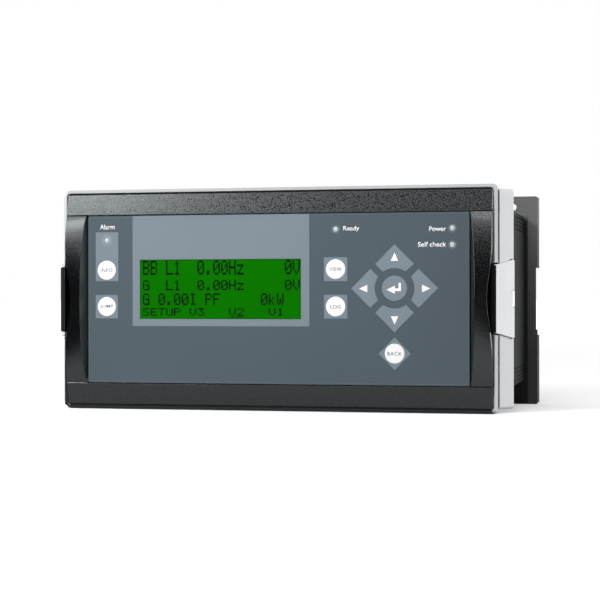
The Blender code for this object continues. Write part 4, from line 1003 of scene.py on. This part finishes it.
def soften_nodes():
    """Gives each CAD node its finish and rounds the edges of the ones that show."""
    weld, smooth = group_of("tidy_mesh", True), group_of("smooth_mesh", False)
    for name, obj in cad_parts.items():
        slot = obj.data.materials[0].name
        obj.data.materials.clear()
        obj.data.materials.append(LOOKS[OWN_LOOKS.get(name, slot)])
        soften(obj, EDGE_WIDTHS.get(name, 0.0), weld, smooth)


def area_light(name, place, target, size, power):
    lamp = bpy.data.lights.new(name, "AREA")
    lamp.shape = "RECTANGLE"
    lamp.size, lamp.size_y = size
    lamp.energy = power
    obj = link(bpy.data.objects.new(name, lamp))
    obj.location = place
    obj.rotation_euler = (Vector(target) - Vector(place)).to_track_quat("-Z", "Y").to_euler()


def make_floor():
    """A white floor that keeps a soft shadow. It throws little light back up and is dim far in front."""
    body = bmesh.new()
    bmesh.ops.create_grid(body, x_segments=1, y_segments=1, size=FLOOR_HALF)
    mesh = bpy.data.meshes.new("floor")
    body.to_mesh(mesh)
    body.free()
    t = Finish("floor")
    axes = t.axes()
    rays = t.node("ShaderNodeLightPath").outputs
    seen = t.maths("MAXIMUM", rays["Is Camera Ray"], rays["Is Glossy Ray"])
    seen = t.maths("MAXIMUM", seen, rays["Is Transmission Ray"])
    bounce, white, dim = (shade((1, 1, 1), share) for share in (FLOOR_BOUNCE, FLOOR_WHITE, FLOOR_FRONT))
    front = t.maths("MAXIMUM", t.spread(axes["Y"], 1.0, 0.0, *FLOOR_DIM_DEPTHS),
                    t.spread(axes["X"], 1.0, 0.0, *FLOOR_DIM_SIDE))
    front = t.maths("MULTIPLY", front, rays["Is Glossy Ray"])
    t.join(t.mix(seen, bounce, t.mix(front, white, dim)), t.shader.inputs["Base Color"])
    t.settle("Roughness", FLOOR_ROUGHNESS)
    t.settle("Specular IOR Level", 0.0)
    t.settle("Emission Color", (1, 1, 1, 1))
    glow = t.spread(t.away_from((0, 0, 0)), FLOOR_GLOW, 1.0, *FLOOR_GLOW_REACH)
    t.join(t.maths("MULTIPLY", rays["Is Camera Ray"], glow), t.shader.inputs["Emission Strength"])
    mesh.materials.append(t.look)
    link(bpy.data.objects.new("floor", mesh))


def make_world():
    """A studio that is plain white to the camera, dim in front of the part and brighter above and behind it."""
    world = bpy.data.worlds.new("studio")
    bpy.context.scene.world = world
    world.use_nodes = True
    t = Tree(world.node_tree, "Generated")
    axes = t.axes()
    rays = t.node("ShaderNodeLightPath").outputs
    above = t.spread(axes["Z"], WORLD_LOW, WORLD_HIGH, *WORLD_HEIGHTS)
    behind = t.spread(axes["Y"], 0.0, 1.0, *WORLD_TURN)
    lit = t.level(behind, above, t.level(rays["Is Diffuse Ray"], 1.0, WORLD_BACK))
    back = t.tree.nodes["Background"]
    t.join(t.level(rays["Is Camera Ray"], lit, 1.0), back.inputs["Strength"])
    back.inputs["Color"].default_value = (1, 1, 1, 1)


def make_camera():
    lens = bpy.data.cameras.new("camera")
    lens.lens = CAMERA_LENS
    lens.sensor_width = CAMERA_SENSOR
    lens.clip_start, lens.clip_end = CAMERA_CLIP
    camera = link(bpy.data.objects.new("camera", lens))
    turn, pitch = math.radians(CAMERA_TURN), math.radians(CAMERA_PITCH)
    ahead = Vector((-math.sin(turn) * math.cos(pitch), math.cos(turn) * math.cos(pitch), -math.sin(pitch)))
    facing = ahead.to_track_quat("-Z", "Y").to_matrix().to_4x4()
    roll = Matrix.Rotation(math.radians(CAMERA_ROLL), 4, "Z")
    camera.matrix_world = Matrix.Translation(CAMERA_PLACE) @ facing @ roll
    bpy.context.scene.camera = camera


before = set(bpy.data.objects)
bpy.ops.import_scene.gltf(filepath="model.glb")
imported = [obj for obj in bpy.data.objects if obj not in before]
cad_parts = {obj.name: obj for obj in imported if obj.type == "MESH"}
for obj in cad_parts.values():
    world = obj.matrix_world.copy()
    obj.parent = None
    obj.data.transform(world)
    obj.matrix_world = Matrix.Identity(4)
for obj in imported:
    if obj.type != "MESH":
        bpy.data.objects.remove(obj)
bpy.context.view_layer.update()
lamp_spots = [spot(*middle(name), LAMP_NEAR) for name in LAMPS]
LOOKS = {name: look_of(name, **values) for name, values in FINISHES.items()}
LOOKS["dark_plate"] = plate_look("dark_plate", PLATE_COLOUR)
LOOKS["display_green"] = display_look("display_green", DISPLAY_COLOUR)
LOOKS["board"] = board_look("board", BOARD_COLOUR)
LOOKS["ribbon"] = ribbon_look("ribbon", RIBBON_COLOUR)
LOOKS["foil"] = foil_look("foil", FOIL_COLOUR, lamp_spots[1:], FOIL_HALO)
LOOKS["field"] = foil_look("field", FIELD_COLOUR, lamp_spots[:1], FIELD_HALO)
soften_nodes()
make_print()
make_display_text()
make_seams()
make_crests()
make_terminal_hardware()
make_floor()
make_world()
area_light("key_light", *KEY_LIGHT)
area_light("fill_light", *FILL_LIGHT)
area_light("side_light", *SIDE_LIGHT)
area_light("left_light", *LEFT_LIGHT)
make_camera()
bpy.context.scene.view_settings.view_transform = "Standard"
